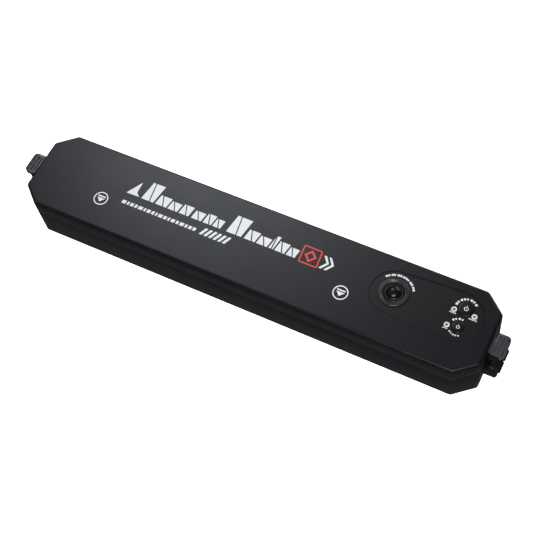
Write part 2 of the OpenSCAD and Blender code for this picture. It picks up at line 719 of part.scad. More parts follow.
module valve_seal() color([0.3, 0.1, 0.08]) difference() {
    post([valve_x, valve_y], valve_seal_r, z_seal, z_ceiling);
    post([valve_x, valve_y], valve_stem_r, z_seal - over, z_ceiling + over);
}

module valve_spring() color(steel)
    translate([valve_x, valve_y, z_lid_floor]) coil(3.4, 0.35, z_button - z_lid_floor, 5);

// ---------------------------------------------------------------- keys and control board

z_switch = z_control_board + board_t;
key_flange = 0.35;             // how far a key's flange stands out under the cover
key_gap = 0.15;                // round a key in the cover
z_key = z_ledge - 0.9;         // underside of the keys
z_switch_top = z_key - key_travel - seat;
plunger_r = 1.7;
plunger_room = 0.1;            // under a pressed plunger
z_bore = z_switch + 0.3;       // bottom of a switch's bore

module key(y, r) {
    profile = [[0, z_key], [r + key_flange, z_key], [r + key_flange, z_ledge - 0.1], [r, z_ledge - 0.1],
        [r, z_top - 0.35], [r - 0.35, z_top - 0.05], [r * 0.5, z_top + 0.1], [0, z_top + 0.15]];
    translate([key_x, y, 0]) rotate_extrude() polygon(profile);
}

module vacuum_seal_key() color(part_black) key(vacuum_key_y, vacuum_key_r);

module seal_only_key() color(part_black) key(seal_key_y, seal_key_r);

module plunger(y) color([0.1, 0.1, 0.1])
    post([key_x, y], plunger_r, z_bore + plunger_room + key_travel, z_key);

module vacuum_key_plunger() plunger(vacuum_key_y);

module seal_key_plunger() plunger(seal_key_y);

module key_switches() color([0.5, 0.5, 0.52])
    for (y = [vacuum_key_y, seal_key_y]) difference() {
        block(key_x - 3, y - 3, z_switch, key_x + 3, y + 3, z_switch_top);
        post([key_x, y], plunger_r + fit, z_bore, z_switch_top + over);
    }

module indicator_lenses() color([0.9, 0.9, 0.88])
    for (p = led_places) {
        post(p, lens_r, z_ledge, z_overlay + overlay_t + 0.1);
        post(p, lens_r + 0.3, z_ledge - 0.7, z_ledge);
    }

module indicator_leds() color([0.8, 0.85, 0.8])
    for (p = led_places) {
        post(p, led_r, z_switch, z_switch + led_h);
        translate([p[0], p[1], z_switch + led_h]) sphere(r = led_r, $fn = 24);
    }

control_holes = [for (x = [control_x0 + 3, control_x1 - 2.6], y = [control_y0 + 2.6, control_y1 - 2.6])
    [x, y]];

module control_board() color([0.05, 0.3, 0.12]) difference() {
    round_plate(control_x0, control_y0, control_x1, control_y1, 1, z_control_board, z_switch);
    for (p = control_holes) post(p, small_screw_r + fit, z_control_board - over, z_switch + over);
}

module control_board_screws() color(steel)
    for (p = control_holes) {
        post(p, small_head_r, z_switch, z_switch + small_head_h);
        post(p, small_screw_r, z_control_board - 1.8, z_switch);
    }

// ---------------------------------------------------------------- cable through the hollow hinge

module lid_cable_upper() color([0.15, 0.15, 0.16])
    wire([[control_x0 - 1.2, vacuum_key_y, z_switch + 1.2],
        [control_x0 - 6, hinge_y - 1.8, z_lid_floor + 1.6],
        [cable_x - lug_half - 3, hinge_y - 1.8, z_lid_floor + 1.6],
        [cable_x - lug_half - 3, hinge_y, z_part + 0.4], [cable_x - lug_half - 1.5, hinge_y, z_part],
        [cable_x, hinge_y, z_part]], cable_r);

module lid_cable_lower() color([0.15, 0.15, 0.16]) {
    x1 = cable_x + station_half + 3;
    x2 = motor_x0 + motor_l + 6;
    x3 = power_board_x + power_board_l - 8;
    y0 = min(hinge_y, half_w - wall - cable_r - 0.1);
    y1 = y0 - 0.8;
    y2 = pump_y - pump_w / 2 - 2.5;
    wire([[cable_x, hinge_y, z_part], [x1, y0, z_part], [x1 + 4, y1, z_part - 6],
        [x2 - 2, y1, z_floor + 9], [x2, y2 + 6, z_floor + 3], [x2 - 4, y2, lead_z + 0.2],
        [x3, y2, lead_z + 0.2],
        [x3, pump_y - power_board_w / 2 - 1.5, z_power_board + board_t / 2]], cable_r);
}

// ---------------------------------------------------------------- pump

motor_x0 = pump_x + pump_l;
crank_r = 3;

module pump_motor() color(steel) difference() {
    union() {
        intersection() {
            rod_x(motor_x0, motor_x0 + motor_l, pump_y, pump_z, motor_d / 2);
            block(motor_x0, pump_y - motor_d, pump_z - motor_flat / 2, motor_x0 + motor_l, pump_y + motor_d,
                pump_z + motor_flat / 2);
        }
        rod_x(motor_x0 + motor_l, motor_x0 + motor_l + 1.5, pump_y, pump_z, 3);
        // its two terminals
        for (s = [-1, 1])
            block(motor_x0 + motor_l, pump_y + s * 6 - 1, pump_z - 0.3,
                motor_x0 + motor_l + 3, pump_y + s * 6 + 1, pump_z + 0.3);
    }
    rod_x(motor_x0 - over, motor_x0 + motor_l - 2, pump_y, pump_z, shaft_r + fit);
}

module motor_shaft() color(steel)
    rod_x(pump_x + 4, motor_x0 + motor_l - 2.5, pump_y, pump_z, shaft_r);

module crank() color([0.85, 0.85, 0.82]) difference() {
    union() {
        rod_x(pump_x + 4, pump_x + 7, pump_y, pump_z, crank_r);
        rod_x(pump_x + 7, pump_x + 15, pump_y, pump_z + crank_offset, crank_r);
    }
    rod_x(pump_x + 3, pump_x + 16, pump_y, pump_z, shaft_r);
}

pump_screw_places = [for (x = [pump_x + 2.5, pump_x + pump_l - 2.5], s = [-1, 1])
    [x, pump_y + s * (pump_w / 2 - 2.5)]];
stud_x = pump_x + 11;                         // the diaphragm's stud, over the crank
stud_r = 2.2;

module pump_housing() color([0.75, 0.75, 0.72]) difference() {
    block(pump_x, pump_y - pump_w / 2, z_floor + 0.9, pump_x + pump_l, pump_y + pump_w / 2, housing_top);
    rod_x(pump_x + 2, pump_x + pump_l - 3, pump_y, pump_z, cavity_r);
    rod_x(pump_x + 2, motor_x0 + over, pump_y, pump_z, shaft_r + swing);
    post([stud_x, pump_y], stud_r + 0.4, pump_z, housing_top + over);
    for (p = pump_screw_places) post(p, small_screw_r + fit, z_floor + 4, housing_top + over);
}

module pump_diaphragm() color([0.2, 0.2, 0.2]) {
    round_plate(pump_x + 4.3, pump_y - pump_w / 2 + 2.2, pump_x + pump_l - 4.3, pump_y + pump_w / 2 - 2.2, 3,
        housing_top, housing_top + diaphragm_t);
    post([stud_x, pump_y], stud_r, pump_z + crank_r + crank_offset + swing, housing_top);
}

module pump_head() color([0.75, 0.75, 0.72]) difference() {
    union() {
        block(pump_x, pump_y - pump_w / 2, housing_top + diaphragm_t,
            pump_x + pump_l, pump_y + pump_w / 2, head_top);
        for (s = [-1, 1]) rod_x(pump_x - 5, pump_x + 1, pump_y + s * 4, nipple_z, nipple_r);
    }
    for (s = [-1, 1]) rod_x(pump_x - 5 - over, pump_x + 4, pump_y + s * 4, nipple_z, nipple_bore_r);
    for (p = pump_screw_places) post(p, small_screw_r + fit, housing_top, head_top + over);
}

module pump_screws() color(steel)
    for (p = pump_screw_places) post(p, small_screw_r, z_floor + 5, head_top - 0.1);

module pump_pads() color(part_black)
    for (x = [pump_x + 2, pump_x + pump_l - 8])
        block(x, pump_y - 7, z_floor, x + 6, pump_y + 7, z_floor + 0.9);

module hose_length(h) difference() {
    cylinder(r = hose_r, h = h);
    translate([0, 0, -over]) cylinder(r = nipple_r + fit / 2, h = h + 2 * over);
}

// Soft tube from the trough's outlet round one bend to the pump's inlet
module air_hose() color([0.85, 0.85, 0.85]) {
    y0 = trough_back + trough_wall + swing;
    translate([hose_x, y0, nipple_z]) rotate([-90, 0, 0]) hose_length(inlet_nipple_y - hose_bend - y0);
    translate([hose_x + hose_bend, inlet_nipple_y - hose_bend, nipple_z]) rotate([0, 0, 90])
        rotate_extrude(angle = 90) translate([hose_bend, 0]) difference() {
            circle(r = hose_r);
            circle(r = nipple_r + fit / 2);
        }
    translate([hose_x + hose_bend, inlet_nipple_y, nipple_z]) rotate([0, 90, 0])
        hose_length(pump_x - 0.3 - hose_x - hose_bend);
}

// ---------------------------------------------------------------- power board and inlet

power_board_holes = [for (x = [3, power_board_l - 3], y = [-1, 1])
    [power_board_x + x, pump_y + y * (power_board_w / 2 - 3)]];

module power_board() color([0.05, 0.3, 0.12]) difference() {
    round_plate(power_board_x, pump_y - power_board_w / 2, power_board_x + power_board_l,
        pump_y + power_board_w / 2, 1, z_power_board, z_parts);
    for (p = power_board_holes) post(p, small_screw_r + fit, z_power_board - over, z_parts + over);
}

module power_board_screws() color(steel)
    for (p = power_board_holes) {
        post(p, small_head_r, z_parts, z_parts + small_head_h);
        post(p, small_screw_r, z_floor, z_parts);
    }

module board_transformer() color([0.8, 0.7, 0.2]) {
    block(power_board_x + 30, pump_y - 7, z_parts, power_board_x + 45, pump_y + 7, z_parts + 3);
    block(power_board_x + 32, pump_y - 5, z_parts + 3, power_board_x + 43, pump_y + 5, z_parts + 9);
    block(power_board_x + 30, pump_y - 7, z_parts + 9, power_board_x + 45, pump_y + 7, z_parts + 12);
}

module board_capacitors() color([0.1, 0.15, 0.35]) {
    post([power_board_x + 14, pump_y + 2], 4.5, z_parts, z_parts + 11);
    post([power_board_x + 24, pump_y - 2], 3.2, z_parts, z_parts + 9);
    post([power_board_x + 70, pump_y + 2], 4, z_parts, z_parts + 10);
}

module board_relay() color([0.1, 0.3, 0.6])
    round_plate(power_board_x + 49, pump_y - 5, power_board_x + 62, pump_y + 5, 0.8,
        z_parts, z_parts + 10.5);

module figure_eight(r) union() {
    for (s = [-1, 1]) translate([s * inlet_pitch / 2, 0]) circle(r = r);
    square([inlet_pitch, 2 * r], center = true);
}

// The inlet's outline in the back wall, moved in by d
module inlet_face(d)
    polygon(rounded(box_corners(-inlet_w / 2 + 1 + d, -inlet_h / 2 + 1.5 + d,
        inlet_w / 2 - 1 - d, inlet_h / 2 - 1.5 - d), 2.5 - d));

module power_inlet() color(part_black) translate([inlet_x, 0, inlet_z]) rotate([-90, 0, 0]) difference() {
    union() {
        translate([0, 0, half_w - inlet_depth - 4]) linear_extrude(inlet_depth + 4 - wall - seat)
            polygon(rounded(box_corners(-inlet_w / 2, -inlet_h / 2, inlet_w / 2, inlet_h / 2), 1));
        translate([0, 0, half_w - wall - 1]) linear_extrude(wall + 0.7) inlet_face(seat);
    }
    translate([0, 0, half_w - inlet_depth]) linear_extrude(inlet_depth + over) figure_eight(inlet_hole_r);
    for (s = [-1, 1]) translate([s * inlet_pitch / 2, 0, 0]) cylinder(r = inlet_pin_r + 0.02, h = half_w);
}

module inlet_pins() color(steel)
    for (s = [-1, 1])
        rod_y(half_w - inlet_depth - 7, half_w - 2.5, inlet_x + s * inlet_pitch / 2, inlet_z, inlet_pin_r);

module mains_leads() color([0.1, 0.1, 0.1])
    for (s = [-1, 1])
        wire([[inlet_x + s * inlet_pitch / 2, half_w - inlet_depth - 7 - lead_r, inlet_z],
            [inlet_x + s * inlet_pitch / 2, pump_y - 6.8 + s * 1.3, inlet_z - 0.4],
            [power_board_x + 5, pump_y - 4.4 + s * 1.6, z_parts + 2.5],
            [power_board_x + 7, pump_y - 4.4 + s * 1.6, z_parts + 0.8]], lead_r);

// ---------------------------------------------------------------- the nodes

top_cover();
lid_frame();
control_overlay();
valve_bezel();
release_valve_button();
valve_stem();
valve_seal();
valve_spring();
vacuum_seal_key();
seal_only_key();
vacuum_key_plunger();
seal_key_plunger();
indicator_lenses();
indicator_leds();
key_switches();
control_board();
control_board_screws();
lid_screws();
lid_catches();
upper_gasket();
press_strip();
lid_cable_upper();
lid_cable_lower();
base_shell();
chamber_deck();
lower_gasket();
heater_holder();
heating_strip();
heater_tape();
strip_terminals();
heater_leads();
hinge_pins();
left_latch();
right_latch();
latch_pins();
latch_springs();
pump_motor();
pump_housing();
pump_diaphragm();
pump_head();
pump_screws();
pump_pads();
motor_shaft();
crank();
air_hose();
power_board();
board_transformer();
board_capacitors();
board_relay();
power_board_screws();
power_inlet();
inlet_pins();
mains_leads();
base_screws();
rubber_feet();
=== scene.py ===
"""Looks of a long, low household vacuum sealer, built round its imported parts.

Every piece sits in the parts' own frame, in metres: X along the length, +Y towards the hinge, +Z up.
The shells are outlines carried through a profile of insets and heights, worked out as whole numpy
arrays; holes and seats are cut from them by solids that are made the same way.
"""

import json
import logging
import math
from collections.abc import Callable, Iterable, Sequence
from dataclasses import dataclass, field
from enum import Enum
from typing import ClassVar

import bmesh
import bpy
import numpy as np
from mathutils import Matrix, Vector


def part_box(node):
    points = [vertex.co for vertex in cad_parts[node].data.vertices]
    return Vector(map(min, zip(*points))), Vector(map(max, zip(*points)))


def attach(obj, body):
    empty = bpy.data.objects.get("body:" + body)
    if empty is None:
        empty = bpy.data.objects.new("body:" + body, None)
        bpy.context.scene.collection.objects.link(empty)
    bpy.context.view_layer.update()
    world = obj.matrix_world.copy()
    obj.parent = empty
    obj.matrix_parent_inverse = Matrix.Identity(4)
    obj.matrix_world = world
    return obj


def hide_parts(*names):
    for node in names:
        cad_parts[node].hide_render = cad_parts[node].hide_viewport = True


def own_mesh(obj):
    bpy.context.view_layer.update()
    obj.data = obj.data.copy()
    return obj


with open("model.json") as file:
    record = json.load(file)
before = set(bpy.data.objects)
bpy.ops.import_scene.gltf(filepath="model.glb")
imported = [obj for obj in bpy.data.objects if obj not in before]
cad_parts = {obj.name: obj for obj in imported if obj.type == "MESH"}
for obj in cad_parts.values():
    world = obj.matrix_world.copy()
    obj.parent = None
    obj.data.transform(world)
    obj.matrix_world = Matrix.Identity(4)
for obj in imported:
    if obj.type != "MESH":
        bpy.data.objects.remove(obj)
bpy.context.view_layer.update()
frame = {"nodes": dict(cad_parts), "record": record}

LOG = logging.getLogger("vacuum_sealer")
MM = 0.001
FULL_RING = 359.9

Array = np.ndarray
Outline = Callable[[Array], Array]


# ------------------------------------------------------------------ sizes that the parts give


@dataclass(frozen=True)
class Extent:
    """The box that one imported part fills, in millimetres.

    Args:
        low: its lowest corner.
        high: its highest corner.
    """

    low: Array
    high: Array

    @classmethod
    def of(cls, node: str) -> "Extent":
        """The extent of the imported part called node."""
        low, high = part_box(node)
        return cls(np.array(low) / MM, np.array(high) / MM)

    @property
    def middle(self) -> Array:
        """The centre of the box."""
        return (self.low + self.high) / 2

    @property
    def size(self) -> Array:
        """The box's three sides."""
        return self.high - self.low


@dataclass(frozen=True)
class Datum:
    """Levels and places that the shells share, in millimetres.

    The sizes with a value are the body's own drawing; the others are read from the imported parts.

    Args:
        ledge: how far the top cover stands back from the lid's wall.
        cap_h: how high the cover stands over that step.
        cap_r: radius of the cover's upper rim.
        wall: thickness of the lid's wall.
        lid_floor_t: thickness of the lid's inner floor.
        corner_x: how much of the length a cut-off corner takes.
        corner_y: how much of the depth it takes.
        corner_r: radius where the outline's straight stretches meet.
        overlay_recess: depth of the control panel's recess.
        overlay_t: thickness of the panel's overlay.
    """

    ledge: float = 0.4
    cap_h: float = 2.2
    cap_r: float = 1.6
    wall: float = 2.2
    lid_floor_t: float = 1.8
    corner_x: float = 14.0
    corner_y: float = 12.0
    corner_r: float = 3.0
    overlay_recess: float = 0.8
    overlay_t: float = 0.5
    half_l: float = field(init=False)
    half_w: float = field(init=False)
    z_top: float = field(init=False)
    hinge_y: float = field(init=False)
    z_part: float = field(init=False)

    def __post_init__(self) -> None:
        """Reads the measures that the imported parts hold."""
        cover, pins = Extent.of("top_cover"), Extent.of("hinge_pins")
        for name, value in (
            ("half_l", cover.high[0] + self.ledge),
            ("half_w", cover.high[1] + self.ledge),
            ("z_top", cover.high[2]),
            ("hinge_y", pins.middle[1]),
            ("z_part", pins.middle[2]),
        ):
            object.__setattr__(self, name, float(value))

    @property
    def z_ledge(self) -> float:
        """The step between the lid's wall and its top cover."""
        return self.z_top - self.cap_h

    @property
    def z_print(self) -> float:
        """The upper side of the control panel's overlay."""
        return self.z_top - self.overlay_recess + self.overlay_t


# ------------------------------------------------------------------ surfaces


@dataclass
class Surface:
    """Points and faces of one or more closed shells, in millimetres.

    Args:
        points: an array of points, one row each.
        faces: each face as the numbers of its points, anticlockwise from outside.
    """

    points: Array
    faces: list[Sequence[int]]

    def moved(self, x: float, y: float) -> "Surface":
        """The same shells, shifted level."""
        return Surface(self.points + np.array([x, y, 0.0]), self.faces)

    def to_object(self, name: str) -> bpy.types.Object:
        """A Blender object of the surface, at the origin, in metres."""
        mesh = bpy.data.meshes.new(name)
        mesh.from_pydata(self.points * MM, [], self.faces)
        mesh.validate()
        mesh.update()
        made = bpy.data.objects.new(name, mesh)
        bpy.context.scene.collection.objects.link(made)
        return made

    @staticmethod
    def joined(surfaces: Iterable["Surface"]) -> "Surface":
        """Several surfaces as one, each still closed by itself."""
        points, faces, start = [], [], 0
        for surface in surfaces:
            points.append(surface.points)
            faces += [[start + i for i in face] for face in surface.faces]
            start += len(surface.points)
        return Surface(np.concatenate(points), faces)


def sheet_faces(rows: int, columns: int, wrap_rows: bool, wrap_columns: bool) -> list[list[int]]:
    """The four-sided faces of a grid of points.

    Args:
        rows: how many rows the grid has.
        columns: how many points a row has.
        wrap_rows: whether the last row meets the first.
        wrap_columns: whether each row closes on itself.

    Returns:
        One list of four point numbers for each cell.
    """
    r = np.arange(rows if wrap_rows else rows - 1)[:, None]
    c = np.arange(columns if wrap_columns else columns - 1)[None, :]
    up, along = (r + 1) % rows, (c + 1) % columns
    cells = np.stack([r * columns + c, r * columns + along, up * columns + along, up * columns + c], -1)
    return cells.reshape(-1, 4).tolist()


def rounded_outline(corners: Sequence[Sequence[float]], radius: float | Sequence[float],
                    steps: int = 6) -> Outline:
    """A closed outline with round corners, as a function of how far it is moved in.

    A corner of radius r has its centre at P + r m, where m is the sum of the two edges' inward
    normals over one plus their dot product, and its points are the centre plus (r - inset) times the
    outward direction, which turns from the first edge's normal to the second's. A corner that points
    inwards has r negative, so every inset curve keeps the same centres.

    Args:
        corners: the sharp outline, anticlockwise.
        radius: one radius, or one for each corner.
        steps: how many chords each corner has.

    Returns:
        A function that takes m insets and gives an array of m rings of points.
    """
    p = np.array(corners, float)
    radii = np.broadcast_to(np.array(radius, float), (len(p),))
    before, after = p - np.roll(p, 1, 0), np.roll(p, -1, 0) - p
    before /= np.linalg.norm(before, axis=1)[:, None]
    after /= np.linalg.norm(after, axis=1)[:, None]
    n1 = np.stack([-before[:, 1], before[:, 0]], -1)
    n2 = np.stack([-after[:, 1], after[:, 0]], -1)
    m = (n1 + n2) / (1 + (n1 * n2).sum(1))[:, None]
    cross = before[:, 0] * after[:, 1] - before[:, 1] * after[:, 0]
    sign = np.where(cross >= 0, 1.0, -1.0)
    a1 = np.arctan2(-n1[:, 1], -n1[:, 0])
    turn = (np.arctan2(-n2[:, 1], -n2[:, 0]) - a1 + math.pi) % (2 * math.pi) - math.pi
    angle = a1[:, None] + turn[:, None] * np.linspace(0, 1, steps + 1)
    u = np.stack([np.cos(angle), np.sin(angle)], -1)

    def rings(insets: Array) -> Array:
        """The outline at each inset."""
        d = np.atleast_1d(np.asarray(insets, float))[:, None]
        s, r = sign[None, :], radii[None, :]
        least = 0.02
        reach = np.where(s > 0, np.maximum(r, d + least), r)
        bow = np.where(s > 0, np.maximum(r - d, least), r + d)
        centre = p[None] + (s * reach)[..., None] * m[None]
        ring = centre[:, :, None, :] + (s * bow)[..., None, None] * u[None]
        return ring.reshape(len(d), -1, 2)

    return rings


def circle(radius: float, steps: int = 48, x: float = 0.0, y: float = 0.0) -> Outline:
    """A circle as an outline: its radius less the inset, about (x, y)."""
    angle = np.linspace(0, 2 * math.pi, steps, endpoint=False)
    u = np.stack([np.cos(angle), np.sin(angle)], -1)

    def rings(insets: Array) -> Array:
        """The circle at each inset."""
        d = np.atleast_1d(np.asarray(insets, float))
        return np.array([x, y]) + (radius - d)[:, None, None] * u[None]

    return rings


def tapered_outline(c0: Sequence[float], r0: float, c1: Sequence[float], r1: float,
                    steps: int = 32) -> Outline:
    """Two arcs and their common tangents, as an outline.

    Each arc's points are its centre plus (radius - inset) times a unit vector, which turns through the
    angles between the two tangents; both tangents move in by the inset as the radii shrink.

    Args:
        c0: centre of the first arc.
        r0: its radius.
        c1: centre of the second arc.
        r1: its radius.
        steps: how many chords each arc has.

    Returns:
        A function of the insets, as rounded_outline gives.
    """
    a, b = np.array(c0, float), np.array(c1, float)
    lean = math.atan2(*(b - a)[::-1])
    opening = math.acos((r0 - r1) / np.linalg.norm(b - a))
    share = np.linspace(0, 1, steps + 1)
    far = lean + opening + (2 * math.pi - 2 * opening) * share
    near = lean - opening + 2 * opening * share
    u0 = np.stack([np.cos(far), np.sin(far)], -1)
    u1 = np.stack([np.cos(near), np.sin(near)], -1)

    def rings(insets: Array) -> Array:
        """Both arcs at each inset."""
        d = np.atleast_1d(np.asarray(insets, float))[:, None, None]
        return np.concatenate([a + (r0 - d) * u0, b + (r1 - d) * u1], axis=1)

    return rings


def box_outline(x0: float, y0: float, x1: float, y1: float, radius: float = 0.3, steps: int = 4) -> Outline:
    """A rectangle with round corners, from (x0, y0) to (x1, y1)."""
    return rounded_outline([(x0, y0), (x1, y0), (x1, y1), (x0, y1)], radius, steps)


def plate(outline: Outline, z0: float, z1: float, top: float = 0.0, bottom: float = 0.0,
          inset: float = 0.0, steps: int = 5) -> Surface:
    """A solid between two levels, with its upper and lower edges rounded.

    The profile runs up the wall: inset r (1 - cos a) at height z0 + r (1 - sin a) for the lower edge,
    and the same mirrored for the upper one. Each of its points is one ring of the outline, and the
    first and last ring are closed by a flat face.

    Args:
        outline: the plan shape.
        z0: the lower level.
        z1: the upper level.
        top: radius of the upper edge.
        bottom: radius of the lower edge.
        inset: how far the whole plan is moved in.
        steps: how many chords a rounded edge has.

    Returns:
        The closed surface.
    """
    a = np.linspace(0, math.pi / 2, steps + 1)
    low = (bottom * (1 - np.sin(a)), z0 + bottom * (1 - np.cos(a))) if bottom else ([0.0], [z0])
    high = (top * (1 - np.cos(a)), z1 - top * (1 - np.sin(a))) if top else ([0.0], [z1])
    d = inset + np.concatenate([low[0], high[0]])
    return lofted(outline, d, np.concatenate([low[1], high[1]]))


def ring_points(outline: Outline, insets: Sequence[float], heights: Sequence[float]
                ) -> tuple[Array, int, int]:
    """Rings of one outline, ring i being moved in by insets[i] and lying at heights[i].

    Args:
        outline: the plan shape.
        insets: how far each ring is moved in.
        heights: the level of each ring.

    Returns:
        The points, how many rings there are and how many points each has.
    """
    rings = outline(np.asarray(insets, float))
    rows, columns = rings.shape[:2]
    z = np.broadcast_to(np.asarray(heights, float)[:, None, None], (rows, columns, 1))
    return np.concatenate([rings, z], -1).reshape(-1, 3), rows, columns


def lofted(outline: Outline, insets: Sequence[float], heights: Sequence[float]) -> Surface:
    """A solid from rings of one outline, closed by a flat face at both ends."""
    points, rows, columns = ring_points(outline, insets, heights)
    faces: list[Sequence[int]] = sheet_faces(rows, columns, False, True)
    faces.append(list(range(columns - 1, -1, -1)))
    faces.append(list(range((rows - 1) * columns, rows * columns)))
    return Surface(points, faces)


def swept_ring(outline: Outline, insets: Sequence[float], heights: Sequence[float]) -> Surface:
    """A closed loop of material: a closed profile carried round the outline.

    The profile goes up the outer wall, inwards over the top and down the inner wall.
    """
    points, rows, columns = ring_points(outline, insets, heights)
    return Surface(points, sheet_faces(rows, columns, True, True))


def turned_on_lathe(profile: Sequence[Sequence[float]], x: float, y: float, steps: int = 64) -> Surface:
    """A solid of revolution about the upright line through (x, y).

    Args:
        profile: radius and height from the lower end on the axis to the upper end on the axis.
        x: the axis's place along the length.
        y: the axis's place front to back.
        steps: how many sides the solid has.

    Returns:
        The closed surface, each end being one point on the axis.
    """
    rz = np.array(profile, float)
    inner = rz[1:-1]
    angle = np.linspace(0, 2 * math.pi, steps, endpoint=False)
    ring = np.stack([np.cos(angle), np.sin(angle)], -1)
    wall = np.concatenate([inner[:, 0, None, None] * ring[None],
                           np.broadcast_to(inner[:, 1, None, None], (len(inner), steps, 1))], -1)
    points = np.concatenate([wall.reshape(-1, 3), [[0, 0, rz[0, 1]], [0, 0, rz[-1, 1]]]])
    faces: list[Sequence[int]] = sheet_faces(len(inner), steps, False, True)
    low, high, last = len(points) - 2, len(points) - 1, (len(inner) - 1) * steps
    faces += [[low, (i + 1) % steps, i] for i in range(steps)]
    faces += [[high, last + i, last + (i + 1) % steps] for i in range(steps)]
    return Surface(points, faces).moved(x, y)


def arc_profile(r: float, z: float, radius: float, start: float, end: float, steps: int = 6) -> list[tuple]:
    """Points of a round stretch of a profile about (r, z), from angle start to end in degrees."""
    a = np.radians(np.linspace(start, end, steps + 1))
    return list(zip(r + radius * np.cos(a), z + radius * np.sin(a)))


def arc_band(x: float, y: float, r0: float, r1: float, start: float, end: float,
             z0: float, z1: float) -> Surface:
    """A flat band along an arc about (x, y), from angle start to end in degrees."""
    count = max(3, int(abs(end - start) / 6))
    a = np.radians(np.linspace(start, end, count + 1))
    u = np.stack([np.cos(a), np.sin(a)], -1)
    rim = np.concatenate([r1 * u, r0 * u[::-1]]) + np.array([x, y])
    return prism(rim, z0, z1)


def prism(rim: Array, z0: float, z1: float) -> Surface:
    """A straight-sided solid over a closed anticlockwise rim."""
    rim = np.asarray(rim, float)
    n = len(rim)
    points = np.concatenate([np.column_stack([rim, np.full(n, z0)]), np.column_stack([rim, np.full(n, z1)])])
    faces: list[Sequence[int]] = sheet_faces(2, n, False, True)
    faces += [list(range(n - 1, -1, -1)), list(range(n, 2 * n))]
    return Surface(points, faces)


def block(x0: float, y0: float, z0: float, x1: float, y1: float, z1: float) -> Surface:
    """A plain block."""
    return prism(np.array([(x0, y0), (x1, y0), (x1, y1), (x0, y1)]), z0, z1)


def carved(surface: Surface, cuts: Sequence[Surface]) -> Surface:
    """The surface with some solids cut from it.

    Args:
        surface: the solid to work on.
        cuts: solids that are taken away.

    Returns:
        The finished closed surface.
    """
    work = surface.to_object("work")
    for cut in cuts:
        helper = cut.to_object("helper")
        step = work.modifiers.new("step", "BOOLEAN")
        step.operation, step.object, step.solver = "DIFFERENCE", helper, "MANIFOLD"
        mesh = bpy.data.meshes.new_from_object(work.evaluated_get(bpy.context.evaluated_depsgraph_get()))
        work.modifiers.clear()
        work.data = mesh
        bpy.data.objects.remove(helper)
    points = np.zeros(len(work.data.vertices) * 3, np.float32)
    work.data.vertices.foreach_get("co", points)
    faces = [list(face.vertices) for face in work.data.polygons]
    bpy.data.objects.remove(work)
    return Surface(points.reshape(-1, 3).astype(float) / MM, faces)


# ------------------------------------------------------------------ finishes


class Pattern(Enum):
    """The fine structure that a finish carries."""

    MOULDED = "moulded grain"
    BRUSHED = "brushed metal"
    FOAM = "foam cells"
    WOVEN = "woven glass cloth"
    BOARD = "board tracks"
    WOUND = "wound wire"


@dataclass(frozen=True)
class Finish:
    """One finish of one of the object's pieces.

    Args:
        name: what the finish is called.
        colour: base colour, linear.
        roughness: how matt it is.
        pattern: its fine structure.
        grain: size of that structure, in millimetres.
        depth: how deep the structure is, in millimetres.
        variation: share by which the colour and the roughness wander.
        metal: whether it is bare metal.
        coat: strength of a clear layer over it.
        tint: second colour of the pattern, linear.
        gloss: strength of the surface's own reflection, 0.5 being that of common plastic.
    """

    name: str
    colour: tuple[float, float, float]
    roughness: float
    pattern: Pattern = Pattern.MOULDED
    grain: float = 0.25
    depth: float = 0.01
    variation: float = 0.15
    metal: bool = False
    coat: float = 0.0
    tint: tuple[float, float, float] | None = None
    gloss: float = 0.5


